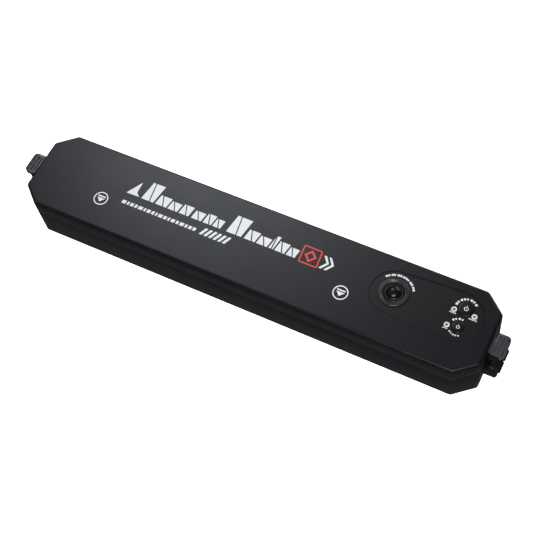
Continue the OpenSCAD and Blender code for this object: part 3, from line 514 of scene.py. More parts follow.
class Bench:
    """A node tree and short ways to put nodes into it."""

    def __init__(self, tree: bpy.types.NodeTree) -> None:
        """Keeps the tree that the nodes go into."""
        self.tree = tree
        self.given: bpy.types.Node | None = None
        self.result: bpy.types.Node | None = None

    @property
    def place(self) -> bpy.types.NodeSocket:
        """Where a point of the surface is."""
        return self.given.outputs["Place"]

    @property
    def fineness(self) -> bpy.types.NodeSocket:
        """How many of the pattern's details there are to a metre."""
        return self.given.outputs["Fineness"]

    def wander(self, value: object, middle: float) -> bpy.types.NodeSocket:
        """How far a value lies from its middle, as a share that the finish's variation scales."""
        return self.maths("MULTIPLY", self.maths("SUBTRACT", value, middle), self.given.outputs["Variation"])

    def put(self, socket: bpy.types.NodeSocket, value: object) -> None:
        """Links a socket to another, or sets its number."""
        if isinstance(value, bpy.types.NodeSocket):
            self.tree.links.new(value, socket)
        else:
            socket.default_value = value

    def noise(self, place: object, scale: object, detail: float, rough: float) -> bpy.types.NodeSocket:
        """Noise from 0 to 1."""
        node = self.tree.nodes.new("ShaderNodeTexNoise")
        self.put(node.inputs["Vector"], place)
        self.put(node.inputs["Scale"], scale)
        node.inputs["Detail"].default_value = detail
        node.inputs["Roughness"].default_value = rough
        return node.outputs[0]

    def voronoi(self, place: object, scale: object, feature: str, metric: str = "EUCLIDEAN"
                ) -> bpy.types.NodeSocket:
        """Distance within a field of cells."""
        node = self.tree.nodes.new("ShaderNodeTexVoronoi")
        node.feature, node.distance = feature, metric
        self.put(node.inputs["Vector"], place)
        self.put(node.inputs["Scale"], scale)
        return node.outputs["Distance"]

    def wave(self, place: object, scale: object, direction: str) -> bpy.types.NodeSocket:
        """Soft bands across one direction."""
        node = self.tree.nodes.new("ShaderNodeTexWave")
        node.bands_direction = direction
        self.put(node.inputs["Vector"], place)
        self.put(node.inputs["Scale"], scale)
        return node.outputs["Fac"]

    def scaled(self, place: object, by: tuple[float, float, float]) -> bpy.types.NodeSocket:
        """The place with each axis multiplied."""
        node = self.tree.nodes.new("ShaderNodeVectorMath")
        node.operation = "MULTIPLY"
        self.put(node.inputs[0], place)
        node.inputs[1].default_value = by
        return node.outputs[0]

    def maths(self, operation: str, a: object, b: object) -> bpy.types.NodeSocket:
        """One sum on two numbers."""
        node = self.tree.nodes.new("ShaderNodeMath")
        node.operation = operation
        self.put(node.inputs[0], a)
        self.put(node.inputs[1], b)
        return node.outputs[0]

    def finish(self, wander: object, height: object) -> None:
        """Fills the group's outputs: the colour between its two shades, the roughness and the height."""
        mix = self.tree.nodes.new("ShaderNodeMix")
        mix.data_type = "RGBA"
        share = self.maths("ADD", wander, 0.5)
        clamp = self.tree.nodes.new("ShaderNodeClamp")
        self.put(clamp.inputs[0], share)
        self.put(mix.inputs[0], clamp.outputs[0])
        self.put(mix.inputs[6], self.given.outputs["Tint"])
        self.put(mix.inputs[7], self.given.outputs["Colour"])
        self.put(self.result.inputs["Colour"], mix.outputs[2])
        rough = self.maths("MULTIPLY", self.given.outputs["Roughness"], self.maths("SUBTRACT", 1.0, wander))
        self.put(self.result.inputs["Roughness"], rough)
        self.put(self.result.inputs["Height"], height)


class TextureGroups:
    """The shader groups that the finishes share, each built once."""

    def __init__(self) -> None:
        """Builds every pattern's group."""
        makers = {
            Pattern.MOULDED: self._moulded, Pattern.BRUSHED: self._brushed, Pattern.FOAM: self._foam,
            Pattern.WOVEN: self._woven, Pattern.BOARD: self._board, Pattern.WOUND: self._wound,
        }
        self.groups = {pattern: self._group(pattern, maker) for pattern, maker in makers.items()}

    def _group(self, pattern: Pattern, maker: Callable) -> bpy.types.NodeTree:
        """A group with the sockets that all patterns have, filled in by its maker."""
        tree = bpy.data.node_groups.new(pattern.value, "ShaderNodeTree")
        for name, kind in (("Place", "NodeSocketVector"), ("Colour", "NodeSocketColor"),
                           ("Tint", "NodeSocketColor"), ("Roughness", "NodeSocketFloat"),
                           ("Fineness", "NodeSocketFloat"), ("Variation", "NodeSocketFloat")):
            tree.interface.new_socket(name, in_out="INPUT", socket_type=kind)
        for name, kind in (("Colour", "NodeSocketColor"), ("Roughness", "NodeSocketFloat"),
                           ("Height", "NodeSocketFloat")):
            tree.interface.new_socket(name, in_out="OUTPUT", socket_type=kind)
        bench = Bench(tree)
        bench.given = tree.nodes.new("NodeGroupInput")
        bench.result = tree.nodes.new("NodeGroupOutput")
        maker(bench)
        return tree

    @staticmethod
    def _moulded(b: Bench) -> None:
        """Spark-eroded grain: fine noise for height, broad noise for slight wander and handling marks."""
        fine = b.noise(b.place, b.fineness, 3.0, 0.6)
        broad = b.noise(b.place, 45.0, 3.0, 0.55)
        b.finish(b.wander(broad, 0.5), fine)

    @staticmethod
    def _brushed(b: Bench) -> None:
        """Fine lines along X: noise squeezed across them."""
        lines = b.noise(b.scaled(b.place, (0.02, 1.0, 1.0)), b.fineness, 2.0, 0.5)
        b.finish(b.wander(lines, 0.5), lines)

    @staticmethod
    def _foam(b: Bench) -> None:
        """Closed cells: the distance to the nearest cell's middle, low in the pores."""
        height = b.maths("SUBTRACT", 1.0, b.voronoi(b.place, b.fineness, "F1"))
        b.finish(b.wander(height, 0.6), height)

    @staticmethod
    def _woven(b: Bench) -> None:
        """Plain weave: waves along X and along Y, the higher thread on top."""
        warp, weft = b.wave(b.place, b.fineness, "X"), b.wave(b.place, b.fineness, "Y")
        height = b.maths("MAXIMUM", warp, weft)
        b.finish(b.wander(height, 0.7), height)

    @staticmethod
    def _board(b: Bench) -> None:
        """Copper tracks under lacquer: the square borders of cells measured along X and Y."""
        track = b.maths("GREATER_THAN", b.voronoi(b.place, b.fineness, "F1", "CHEBYCHEV"), 0.42)
        b.finish(b.wander(track, 0.0), track)

    @staticmethod
    def _wound(b: Bench) -> None:
        """Turns of wire: one wave up the height."""
        turns = b.wave(b.place, b.fineness, "Z")
        b.finish(b.wander(turns, 0.5), turns)


class PaintShop:
    """Makes each finish's material once and puts it on pieces."""

    light_share = 1.1
    dark_share = 0.55
    coat_roughness = 0.12

    def __init__(self, groups: TextureGroups) -> None:
        """Keeps the shared groups and what is already made."""
        self.groups = groups
        self.made: dict[str, bpy.types.Material] = {}

    def material(self, finish: Finish) -> bpy.types.Material:
        """The material of a finish.

        Args:
            finish: what the surface is like.

        Returns:
            A material whose colour, roughness and bump come from the finish's pattern.
        """
        if finish.name in self.made:
            return self.made[finish.name]
        made = bpy.data.materials.new(finish.name)
        made.use_nodes = True
        tree = made.node_tree
        shader = tree.nodes["Principled BSDF"]
        bench = Bench(tree)
        place = tree.nodes.new("ShaderNodeTexCoord")
        group = tree.nodes.new("ShaderNodeGroup")
        group.node_tree = self.groups.groups[finish.pattern]
        bench.put(group.inputs["Place"], place.outputs["Object"])
        second = finish.tint or tuple(c * self.dark_share for c in finish.colour)
        light = [min(1.0, c * self.light_share) for c in finish.colour]
        group.inputs["Colour"].default_value = (*light, 1.0)
        group.inputs["Tint"].default_value = (*second, 1.0)
        group.inputs["Roughness"].default_value = finish.roughness
        group.inputs["Fineness"].default_value = 1.0 / (finish.grain * MM)
        group.inputs["Variation"].default_value = finish.variation
        bench.put(shader.inputs["Base Color"], group.outputs["Colour"])
        bench.put(shader.inputs["Roughness"], group.outputs["Roughness"])
        bump = tree.nodes.new("ShaderNodeBump")
        bump.inputs["Distance"].default_value = finish.depth * MM
        bench.put(bump.inputs["Height"], group.outputs["Height"])
        bench.put(shader.inputs["Normal"], bump.outputs["Normal"])
        shader.inputs["Metallic"].default_value = 1.0 if finish.metal else 0.0
        shader.inputs["Coat Weight"].default_value = finish.coat
        shader.inputs["Coat Roughness"].default_value = self.coat_roughness
        shader.inputs["Specular IOR Level"].default_value = finish.gloss
        self.made[finish.name] = made
        return made

    def dress(self, piece: bpy.types.Object, finish: Finish) -> None:
        """Gives a piece one finish in every slot."""
        if not piece.data.materials:
            piece.data.materials.append(self.material(finish))
        for slot in piece.material_slots:
            slot.material = self.material(finish)


class Finishes:
    """Every finish on the object."""

    BODY = Finish("satin black shell", (0.0042, 0.0045, 0.0056), 0.35, grain=0.16, depth=0.004,
                  variation=0.2, gloss=0.36)
    PANEL = Finish("black panel film", (0.0055, 0.0055, 0.006), 0.36, grain=0.1, depth=0.002,
                   variation=0.15, gloss=0.34)
    BEZEL = Finish("grey bezel", (0.026, 0.026, 0.027), 0.3, grain=0.2, depth=0.003, variation=0.12,
                   gloss=0.4)
    VALVE = Finish("black valve rubber", (0.0025, 0.0025, 0.0025), 0.34, grain=0.3, depth=0.006,
                   variation=0.2, gloss=0.3)
    KEY = Finish("black key plastic", (0.004, 0.004, 0.0045), 0.32, grain=0.15, depth=0.003,
                 variation=0.12, gloss=0.35)
    LENS = Finish("smoked lens", (0.02, 0.016, 0.015), 0.15, grain=0.4, depth=0.001, variation=0.1)
    FROSTED = Finish("frosted lens", (0.72, 0.73, 0.72), 0.35, grain=0.3, depth=0.002, variation=0.08)
    LED = Finish("clear lamp", (0.6, 0.66, 0.6), 0.1, grain=0.5, depth=0.001, variation=0.1)
    WHITE = Finish("white print", (0.86, 0.86, 0.87), 0.4, grain=0.2, depth=0.002, variation=0.06)
    RED = Finish("red print", (0.72, 0.055, 0.04), 0.42, grain=0.2, depth=0.002, variation=0.08)
    LATCH = Finish("grey latch plastic", (0.045, 0.047, 0.052), 0.34, grain=0.22, depth=0.005,
                   variation=0.2, gloss=0.5)
    BRACKET = Finish("black bracket plastic", (0.004, 0.004, 0.0045), 0.45, grain=0.2, depth=0.005,
                     gloss=0.2)
    FOOT = Finish("foot rubber", (0.012, 0.012, 0.012), 0.75, grain=0.35, depth=0.02, variation=0.25)
    FOAM = Finish("grey foam", (0.085, 0.085, 0.087), 0.9, Pattern.FOAM, 0.45, 0.12, 0.7)
    SILICONE = Finish("black silicone", (0.02, 0.02, 0.021), 0.5, grain=0.3, depth=0.01, variation=0.2)
    INNER = Finish("black inner plastic", (0.028, 0.028, 0.03), 0.38, grain=0.4, depth=0.012, variation=0.25)
    HOLDER = Finish("brown heater holder", (0.09, 0.035, 0.018), 0.5, grain=0.3, depth=0.012, variation=0.4)
    STEEL = Finish("zinc-plated steel", (0.55, 0.55, 0.56), 0.32, Pattern.BRUSHED, 0.1, 0.003, 0.3, True)
    STRIP = Finish("heating strip", (0.5, 0.47, 0.43), 0.38, Pattern.BRUSHED, 0.12, 0.004, 0.4, True)
    TAPE = Finish("coated glass cloth", (0.3, 0.17, 0.08), 0.4, Pattern.WOVEN, 0.9, 0.03, 0.6,
                  tint=(0.12, 0.06, 0.025))
    BRASS = Finish("pressed brass", (0.6, 0.4, 0.13), 0.3, Pattern.BRUSHED, 0.1, 0.003, 0.3, True)
    BOARD = Finish("green board", (0.02, 0.16, 0.05), 0.3, Pattern.BOARD, 2.2, 0.02, 0.5,
                   tint=(0.006, 0.07, 0.02), coat=0.5)
    SWITCH = Finish("switch body", (0.16, 0.16, 0.17), 0.45, grain=0.2, depth=0.01)
    STEM = Finish("white valve plastic", (0.62, 0.62, 0.58), 0.42, grain=0.3, depth=0.008)
    SEAL = Finish("red seal rubber", (0.2, 0.03, 0.02), 0.6, grain=0.3, depth=0.012, variation=0.3)
    PUMP = Finish("grey pump plastic", (0.42, 0.42, 0.4), 0.45, grain=0.3, depth=0.01, variation=0.2)
    HOSE = Finish("milky hose", (0.62, 0.62, 0.6), 0.35, grain=0.5, depth=0.008, variation=0.2)
    RED_WIRE = Finish("red wire", (0.5, 0.02, 0.015), 0.4, grain=0.4, depth=0.008, variation=0.25)
    BLACK_WIRE = Finish("black wire", (0.02, 0.02, 0.02), 0.45, grain=0.4, depth=0.008, variation=0.25)
    TRANSFORMER = Finish("wound transformer", (0.45, 0.3, 0.04), 0.35, Pattern.WOUND, 3.0, 0.06, 0.6,
                         tint=(0.16, 0.07, 0.015))
    CAPACITOR = Finish("capacitor sleeve", (0.012, 0.03, 0.1), 0.28, grain=0.4, depth=0.004, variation=0.25)
    RELAY = Finish("blue relay case", (0.015, 0.06, 0.2), 0.4, grain=0.3, depth=0.006, variation=0.2)


# ------------------------------------------------------------------ sub-assemblies


@dataclass
class SubAssembly:
    """What every sub-assembly shares: the shop, the datum and ways to hand a piece over.

    Args:
        shop: where finishes come from.
        datum: the levels and places that the shells share.
        weld: points nearer than this are one, in millimetres.
        flat_angle: faces that meet at less than this are one, in degrees.
    """

    weld: ClassVar[float] = 0.002
    flat_angle: ClassVar[float] = 0.5

    shop: PaintShop
    datum: Datum

    def piece(self, name: str, surface: Surface, finish: Finish, body: str,
              replaces: Sequence[str] = (), slot: str | None = None, sharp: float = 32.0) -> bpy.types.Object:
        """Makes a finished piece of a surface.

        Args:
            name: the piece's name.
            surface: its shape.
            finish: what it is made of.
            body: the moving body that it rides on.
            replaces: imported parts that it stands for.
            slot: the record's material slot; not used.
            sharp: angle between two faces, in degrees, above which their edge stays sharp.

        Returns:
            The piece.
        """
        made = surface.to_object(name)
        made.data.polygons.foreach_set("use_smooth", np.ones(len(made.data.polygons), bool))
        made.data.set_sharp_from_angle(angle=math.radians(sharp))
        even = made.modifiers.new("even_normals", "WEIGHTED_NORMAL")
        even.keep_sharp, even.weight = True, 80
        self.shop.dress(made, finish)
        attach(made, body)
        if replaces:
            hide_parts(*replaces)
        LOG.info("%s: %d faces on %s", name, len(made.data.polygons), body)
        return made

    def softened(self, node: str, finish: Finish, width: float = 0.3, segments: int = 3,
                 angle: float = 38.0) -> bpy.types.Object:
        """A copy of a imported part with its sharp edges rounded, which stands for the part.

        Args:
            node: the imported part.
            finish: what it is made of.
            width: how far the rounding reaches, in millimetres.
            segments: how many strips a rounded edge has.
            angle: only edges sharper than this, in degrees, are rounded.

        Returns:
            The piece.
        """
        part = frame["nodes"][node]
        mesh = part.data.copy()
        mesh.transform(part.matrix_world)
        shape = bmesh.new()
        shape.from_mesh(mesh)
        bmesh.ops.remove_doubles(shape, verts=shape.verts, dist=self.weld * MM)
        bmesh.ops.dissolve_limit(shape, angle_limit=math.radians(self.flat_angle), verts=shape.verts,
                                 edges=shape.edges)
        shape.to_mesh(mesh)
        shape.free()
        mesh.materials.clear()
        made = bpy.data.objects.new(f"{node}_body", mesh)
        bpy.context.scene.collection.objects.link(made)
        mesh.polygons.foreach_set("use_smooth", np.ones(len(mesh.polygons), bool))
        edge = made.modifiers.new("round_edges", "BEVEL")
        edge.width, edge.segments, edge.limit_method = width * MM, segments, "ANGLE"
        edge.angle_limit, edge.harden_normals, edge.use_clamp_overlap = math.radians(angle), True, True
        self.shop.dress(made, finish)
        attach(made, body_that_carries(node))
        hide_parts(node)
        return made

    def dress_parts(self, parts: dict[Finish, Sequence[str]]) -> None:
        """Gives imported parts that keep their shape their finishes."""
        for finish, nodes in parts.items():
            for node in nodes:
                self.shop.dress(frame["nodes"][node], finish)


def body_that_carries(node: str) -> str:
    """The record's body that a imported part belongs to."""
    bodies = frame["record"]["behaviour"]["bodies"]
    return next(body for body, nodes in bodies.items() if node in nodes)


def body_outline(datum: Datum, steps: int = 8) -> Outline:
    """The body's eight-sided outline with round corners."""
    hx, hy, cx, cy = datum.half_l, datum.half_w, datum.corner_x, datum.corner_y
    corners = [(hx - cx, -hy), (hx, -hy + cy), (hx, hy - cy), (hx - cx, hy),
               (-hx + cx, hy), (-hx, hy - cy), (-hx, -hy + cy), (-hx + cx, -hy)]
    return rounded_outline(corners, datum.corner_r, steps)


@dataclass(frozen=True)
class DashRow:
    """Dashes of several lengths along an arc.

    Args:
        middle: the arc's centre, in millimetres.
        r0: the dashes' inner radius.
        r1: their outer radius.
        start: where the first dash begins, in degrees.
        pitch: degrees from one dash to the next; a negative pitch runs clockwise.
        lengths: each dash's length, in degrees.
    """

    middle: Array
    r0: float
    r1: float
    start: float
    pitch: float
    lengths: tuple[int, ...]

    def bands(self, z0: float, z1: float) -> list[Surface]:
        """The dashes between two levels."""
        bands = []
        for i, length in enumerate(self.lengths):
            near = self.start + i * self.pitch
            low = near if self.pitch > 0 else near - length
            bands.append(arc_band(*self.middle, self.r0, self.r1, low, low + length, z0, z1))
        return bands


@dataclass
class ControlPanel(SubAssembly):
    """The overlay, valve bezel and button, keys, lenses, their printed marks and the keys' white marks, which
    are print and painted highlight.

    Args:
        bezel_r: outer radius of the valve's bezel.
        button_r: radius of the valve's button.
        flange: how far the button's flange stands out under the bezel.
        dome_r: radius of the button's dome.
        dome_h: how high the dome stands over its hollow.
        sleeve: how far the bezel's sleeve stands out round the button.
        near_rim: how far the panel reaches past the bezel.
        far_rim: how far the panel reaches past the upper key.
        far_shift: how far the panel's right-hand arc has its middle left of the keys.
        sink: how deep the flanges lie under the step.
        upper_key_r: radius of the upper key.
        lower_key_r: radius of the lower key.
        key_flange: how far a key's flange stands out under the cover.
        key_gap: room round a key.
        lens_r: radius of a lamp's lens.
        film: thickness of a printed layer.
        edge_shade_width: width of the painted shade line round the panel's recess edge.
    """

    bezel_r: float = 10.3
    button_r: float = 6.9
    flange: float = 0.9
    dome_r: float = 4.5
    dome_h: float = 2.6
    sleeve: float = 1.5
    near_rim: float = 5.5
    far_rim: float = 12.9
    far_shift: float = 4.3
    sink: float = 0.7
    upper_key_r: float = 5.1
    lower_key_r: float = 4.1
    key_flange: float = 0.35
    key_gap: float = 0.15
    lens_r: float = 1.3
    film: float = 0.05
    edge_shade_width: float = 0.4
    valve: Array = field(init=False)
    upper_key: Array = field(init=False)
    lower_key: Array = field(init=False)

    def __post_init__(self) -> None:
        """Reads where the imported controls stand."""
        self.valve = Extent.of("valve_bezel").middle[:2]
        self.upper_key = Extent.of("vacuum_seal_key").middle[:2]
        self.lower_key = Extent.of("seal_only_key").middle[:2]

    @property
    def lamps(self) -> list[Array]:
        """The middles of the three lenses."""
        return [self.upper_key + [-self.upper_key_r - 1.9, -3.1],
                self.upper_key + [self.upper_key_r + 1.7, -3.1],
                self.lower_key + [-self.lower_key_r - 3.0, -1.1]]

    def outline(self) -> Outline:
        """The panel's tapered outline."""
        far = [self.upper_key[0] - self.far_shift, (self.upper_key[1] + self.lower_key[1]) / 2]
        return tapered_outline(self.valve, self.bezel_r + self.near_rim, far, self.upper_key_r + self.far_rim)

    def holes(self, z0: float, z1: float) -> list[Surface]:
        """What the controls need cut through the cover and the overlay, between two levels."""
        round_holes = [(self.valve, self.button_r + self.sleeve + 0.08),
                       (self.upper_key, self.upper_key_r + self.key_gap),
                       (self.lower_key, self.lower_key_r + self.key_gap)]
        round_holes += [(lamp, self.lens_r + 0.05) for lamp in self.lamps]
        return [plate(circle(radius, 48, *place), z0, z1) for place, radius in round_holes]

    def build(self) -> None:
        """Builds every piece of the panel."""
        d, f = self.datum, Finishes
        z0, z1 = d.z_top - d.overlay_recess, d.z_print
        sheet = plate(self.outline(), z0, z1, top=0.12, inset=0.1, steps=2)
        film = carved(sheet, self.holes(z0 - 1, z1 + 1))
        self.piece("panel_overlay", film, f.PANEL, "lid", ["control_overlay"], "control_panel")
        # painted shade: a duller black line on the cover round the panel, standing in for the shade at the
        # recess edge
        self.piece("panel_edge_shade", self._painted_edge_shade(d.z_top + 0.01), f.BRACKET, "lid")
        self.piece("bezel_ring", self._bezel(z1), f.BEZEL, "lid", ["valve_bezel"], "valve_bezel")
        self.piece("valve_button", self._button(), f.VALVE, "valve", ["release_valve_button"], "valve_rubber")
        for name, node, body, place, radius in (
            ("upper_key", "vacuum_seal_key", "vacuum_key", self.upper_key, self.upper_key_r),
            ("lower_key", "seal_only_key", "seal_key", self.lower_key, self.lower_key_r),
        ):
            self.piece(name, self._key(place, radius), f.KEY, body, [node], "key_plastic")
            # print and painted highlight: the white mark also stands for the glints on the key's dome
            self.piece(f"{name}_mark", self._key_print_and_glint(place, radius), f.WHITE, body)
        lenses = Surface.joined([self._lens(lamp) for lamp in self.lamps])
        self.piece("lamp_lenses", lenses, f.FROSTED, "lid", ["indicator_lenses"], "lens")
        dot = [(0, z1 + 0.02), (0.8, z1 + 0.02), (0.72, z1 + 0.12), (0, z1 + 0.14)]
        centres = Surface.joined([turned_on_lathe(dot, *lamp, 24) for lamp in self.lamps])
        self.piece("lamp_centres", centres, f.LENS, "lid")
        self.piece("panel_print", self._print(z1 + 0.001), f.WHITE, "lid")

    def _painted_edge_shade(self, z: float) -> Surface:
        """A line of painted shade round the panel's recess edge, in a less glossy black: its outline swept
        with a low, flat profile.
        """
        across = np.array([-self.edge_shade_width, -self.edge_shade_width, 0.04, 0.04])
        return swept_ring(self.outline(), across, np.array([z, z + 0.03, z + 0.03, z]))

    def _bezel(self, z_seat: float) -> Surface:
        """A turned ring: sleeve, rounded rim and a shallow dish with fine concentric grooves."""
        d, rim, inner = self.datum, self.bezel_r, self.button_r + 0.3
        dish = np.linspace(rim - 1.2, inner + 0.55, 40)
        fall = (rim - 1.2 - dish) / (rim - 1.75 - inner)
        height = d.z_top + 0.9 - 0.38 * fall + 0.035 * np.sin(dish * 2 * math.pi / 0.42)
        points = [(rim, z_seat), (rim, d.z_top + 0.25)]
        points += arc_profile(rim - 0.55, d.z_top + 0.35, 0.55, 0, 90, 6)
        points += list(zip(dish, height))
        points += arc_profile(inner + 0.4, d.z_top + 0.1, 0.4, 90, 180, 4)
        points += [(inner, d.z_ledge - 0.6), (self.button_r + self.sleeve, d.z_ledge - 0.6),
                   (self.button_r + self.sleeve, z_seat)]
        profile = np.array(points)
        return swept_ring(circle(rim, 96, *self.valve), rim - profile[:, 0], profile[:, 1])

    def _button(self) -> Surface:
        """A turned rubber button: flange, wall, a rounded shoulder, a hollow and a dome."""
        d, r = self.datum, self.button_r
        z_low = d.z_ledge - 2.2
        profile = [(0, z_low + 2), (1.5, z_low + 2), (1.5, z_low), (r + self.flange, z_low),
                   (r + self.flange, d.z_ledge - self.sink), (r, d.z_ledge - self.sink)]
        profile += arc_profile(r - 0.45, d.z_top - 0.4, 0.45, 0, 90, 5)
        profile += [(r - 1.2, d.z_top - 0.12), (self.dome_r + 0.55, d.z_top - 0.02),
                    (self.dome_r + 0.2, d.z_top + 0.2)]
        turn = np.radians(np.linspace(4, 90, 16))
        profile += list(zip(self.dome_r * np.cos(turn), d.z_top + 0.4 + self.dome_h * np.sin(turn)))
        profile[-1] = (0.0, profile[-1][1])
        return turned_on_lathe(profile, *self.valve, 80)

    def _key(self, place: Array, radius: float) -> Surface:
        """A turned key: flange, wall, rounded edge and a slightly domed face."""
        d = self.datum
        low = d.z_ledge - 0.9
        profile = [(0, low), (radius + self.key_flange, low), (radius + self.key_flange, d.z_ledge - 0.1),
                   (radius, d.z_ledge - 0.1)]
        profile += arc_profile(radius - 0.4, d.z_top - 0.4, 0.4, 0, 80, 5)
        across = np.linspace(radius - 0.6, 0, 6)
        profile += list(zip(across, d.z_top + 0.15 - 0.13 * (across / radius) ** 2))
        return turned_on_lathe(profile, *place, 64)

    def _key_print_and_glint(self, place: Array, radius: float) -> Surface:
        """A small white mark in the middle of a key, an open ring with a short bar: the key's print and a
        painted highlight for the glints on its dome.
        """
        z0 = self.datum.z_top + 0.1
        z1 = z0 + 0.05 + self.film
        x, y, size = place[0], place[1], radius / self.upper_key_r
        ring = arc_band(x, y, 1.0 * size, 1.5 * size, 130, 410, z0, z1)
        bar = block(x - 0.25 * size, y + 0.2 * size, z0, x + 0.25 * size, y + 2.3 * size, z1)
        return Surface.joined([ring, bar])

    def _lens(self, place: Array) -> Surface:
        """A turned lens with a domed face and a flange under the cover."""
        d, r = self.datum, self.lens_r
        z_low, flange = d.z_ledge - self.sink, r + 0.3
        profile = [(0, z_low), (flange, z_low), (flange, d.z_ledge), (r, d.z_ledge)]
        profile += arc_profile(r - 0.2, d.z_print - 0.1, 0.2, 0, 70, 3)
        profile += [(r * 0.5, d.z_print + 0.08), (0, d.z_print + 0.1)]
        return turned_on_lathe(profile, *place, 32)

    def _print(self, z: float) -> Surface:
        """The white marks on the film: dashes along arcs, bars under the lamps and rings round them."""
        top = z + self.film
        marks: list[Surface] = []
        for row in (
            DashRow(self.valve, 12.3, 13.7, 137, -8.6, (7, 5, 8, 4, 8, 6, 7, 7, 4, 8, 5, 7, 6)),
            DashRow(self.upper_key, 6.25, 7.75, 176, -17.5, (13, 8, 12, 11, 7, 13, 9, 12)),
            DashRow(self.lower_key, 5.35, 6.6, 146, -19.5, (13, 9, 13, 10)),
            DashRow(self.lower_key, 5.5, 6.5, 226, 15.5, (9, 7, 10, 8, 9)),
        ):
            marks += row.bands(z, top)
        pitch, wide, high = 1.15, 0.8, 0.85
        for x0, x1, y in ((139.7, 144.6, 7.2), (152.6, 158.6, 7.2), (139.9, 143.6, -4.9)):
            starts = [x0 + pitch * i for i in range(int((x1 - x0) / pitch))]
            marks += [block(x, y, z, x + wide, y + high, top) for x in starts]
        r0, r1 = self.lens_r + 0.06, self.lens_r + 0.55
        marks += [arc_band(*lamp, r0, r1, 0, FULL_RING, z, top) for lamp in self.lamps]
        return Surface.joined(marks)


@dataclass
class LidTop(SubAssembly):
    """The lid's top cover and the marks printed on it.

    Args:
        panel: the control panel that the cover is cut out for.
        boss_r: radius of the screw bosses under the cover.
        film: thickness of a printed layer.
    """

    panel: ControlPanel
    boss_r: float = 2.8
    film: float = 0.05

    def build(self) -> None:
        """Builds the cover and its print."""
        self.piece("lid_cover", self._cover(), Finishes.BODY, "lid", ["top_cover"], "body_shell")
        z = self.datum.z_top + 0.001
        self.piece("cover_print_white", self._white(z, z + self.film), Finishes.WHITE, "lid")
        self.piece("cover_print_red", self._red(z, z + self.film), Finishes.RED, "lid")

    def _cover(self) -> Surface:
        """The plate with its rounded rim, its lip and bosses, the panel's recess and all holes."""
        d, plan = self.datum, body_outline(self.datum)
        cap = plate(plan, d.z_ledge, d.z_top, top=d.cap_r, inset=d.ledge, steps=8)
        z0 = d.z_top - d.overlay_recess
        recess = plate(self.panel.outline(), z0, d.z_top + 2)
        cap = carved(cap, [recess, *self.panel.holes(d.z_ledge - 1, d.z_top + 1)])
        lip = swept_ring(plan, np.array([0, 0, 1.2, 1.2]) + d.wall + 0.2,
                         [d.z_ledge - 2.5, d.z_ledge, d.z_ledge, d.z_ledge - 2.5])
        z_low = d.z_part + 1 + d.lid_floor_t
        bosses = [swept_ring(circle(self.boss_r, 32, *place), [0, 0, 1.45, 1.45],
                             [z_low, d.z_ledge, d.z_ledge, z_low]) for place in self._boss_places()]
        return Surface.joined([cap, lip, *bosses])

    def _boss_places(self) -> list[tuple[float, float]]:
        """Where the lid's screws go up into the cover."""
        hx, back = self.datum.half_l, self.datum.hinge_y - 6.85
        return [(-hx + 9, -14), (-hx + 9, 12), (hx - 9, -14), (hx - 9, 10), (-hx + 86, back), (0, back),
                (hx - 86, back)]

    @staticmethod
    def _slanted(x0: float, x1: float, y0: float, y1: float, lean: float, z0: float, z1: float) -> Surface:
        """A slanted bar: its foot from x0 to x1 at y0, its head shifted by lean at y1."""
        return prism(np.array([(x0, y0), (x1, y0), (x1 + lean, y1), (x0 + lean, y1)]), z0, z1)

    @staticmethod
    def _split_block(x0: float, x1: float, y0: float, y1: float, z0: float, z1: float) -> list[Surface]:
        """A slanted block, parted by a slit that leans the other way."""
        lean, slit, middle = 0.16 * (y1 - y0), 0.85, (x0 + x1) / 2
        tilt = min(0.3 * (x1 - x0), 2.2)
        left = [(x0, y0), (middle + tilt - slit, y0), (middle - tilt - slit + lean, y1), (x0 + lean, y1)]
        right = [(middle + tilt, y0), (x1, y0), (x1 + lean, y1), (middle - tilt + lean, y1)]
        return [prism(np.array(rim), z0, z1) for rim in (left, right)]

    def _white(self, z0: float, z1: float) -> Surface:
        """Split blocks of three heights in two groups, a wedge, a row of dashes, stripes and two rings."""
        marks = [prism(np.array([(-100.2, 2.6), (-90.1, 2.8), (-93.1, 5.6), (-93.3, 14.2)]), z0, z1)]
        foot, low, middle, tall = 2.6, 9.2, 10.4, 17.3
        for x0, x1, top in (
            (-88.2, -78.6, tall), (-77.0, -68.2, middle), (-67.0, -59.4, low), (-58.0, -50.4, middle),
            (-48.2, -40.4, low), (-39.0, -32.6, middle), (-31.4, -25.4, low), (-20.6, -9.2, 16.9),
            (-7.0, 1.2, middle), (2.4, 10.6, low), (11.8, 15.0, 13.2), (16.2, 23.6, middle),
            (24.8, 31.4, low),
        ):
            marks += self._split_block(x0, x1, foot, top, z0, z1)
        x, gap = -99.6, 1.05
        for width in (3.1, 1.6, 2.4, 2.0, 3.4, 1.5, 2.6, 2.1, 1.4,
                      3.0, 2.3, 1.6, 2.8, 2.0, 3.1, 1.7, 2.4, 2.2):
            marks.append(self._slanted(x, x + width, -6.0, -3.4, 0.35, z0, z1))
            x += width + gap
        pitch, wide = 3.58, 2.1
        for x in -37.0 + pitch * np.arange(6):
            marks.append(self._slanted(x, x + wide, -6.6, -0.8, 2.7, z0, z1))
        for x, y in ((-114.6, -8.9), (70.4, -8.6)):
            marks += self._ring_with_arrow(x, y, z0, z1)
        for x in (49.0, 52.7):
            marks.append(self._chevron(x, z0, z1))
        return Surface.joined(marks)

    @staticmethod
    def _ring_with_arrow(x: float, y: float, z0: float, z1: float) -> list[Surface]:
        """A ring about (x, y) round an arrow head that points to the front, with a bar behind it."""
        half, tip = 3.0, 2.7
        head = [(x - half, y + 0.5), (x, y - tip), (x + half, y + 0.5)]
        return [arc_band(x, y, 4.5, 5.3, 0, FULL_RING, z0, z1), prism(np.array(head), z0, z1),
                block(x - half, y + 1.3, z0, x + half, y + 2.3, z1)]

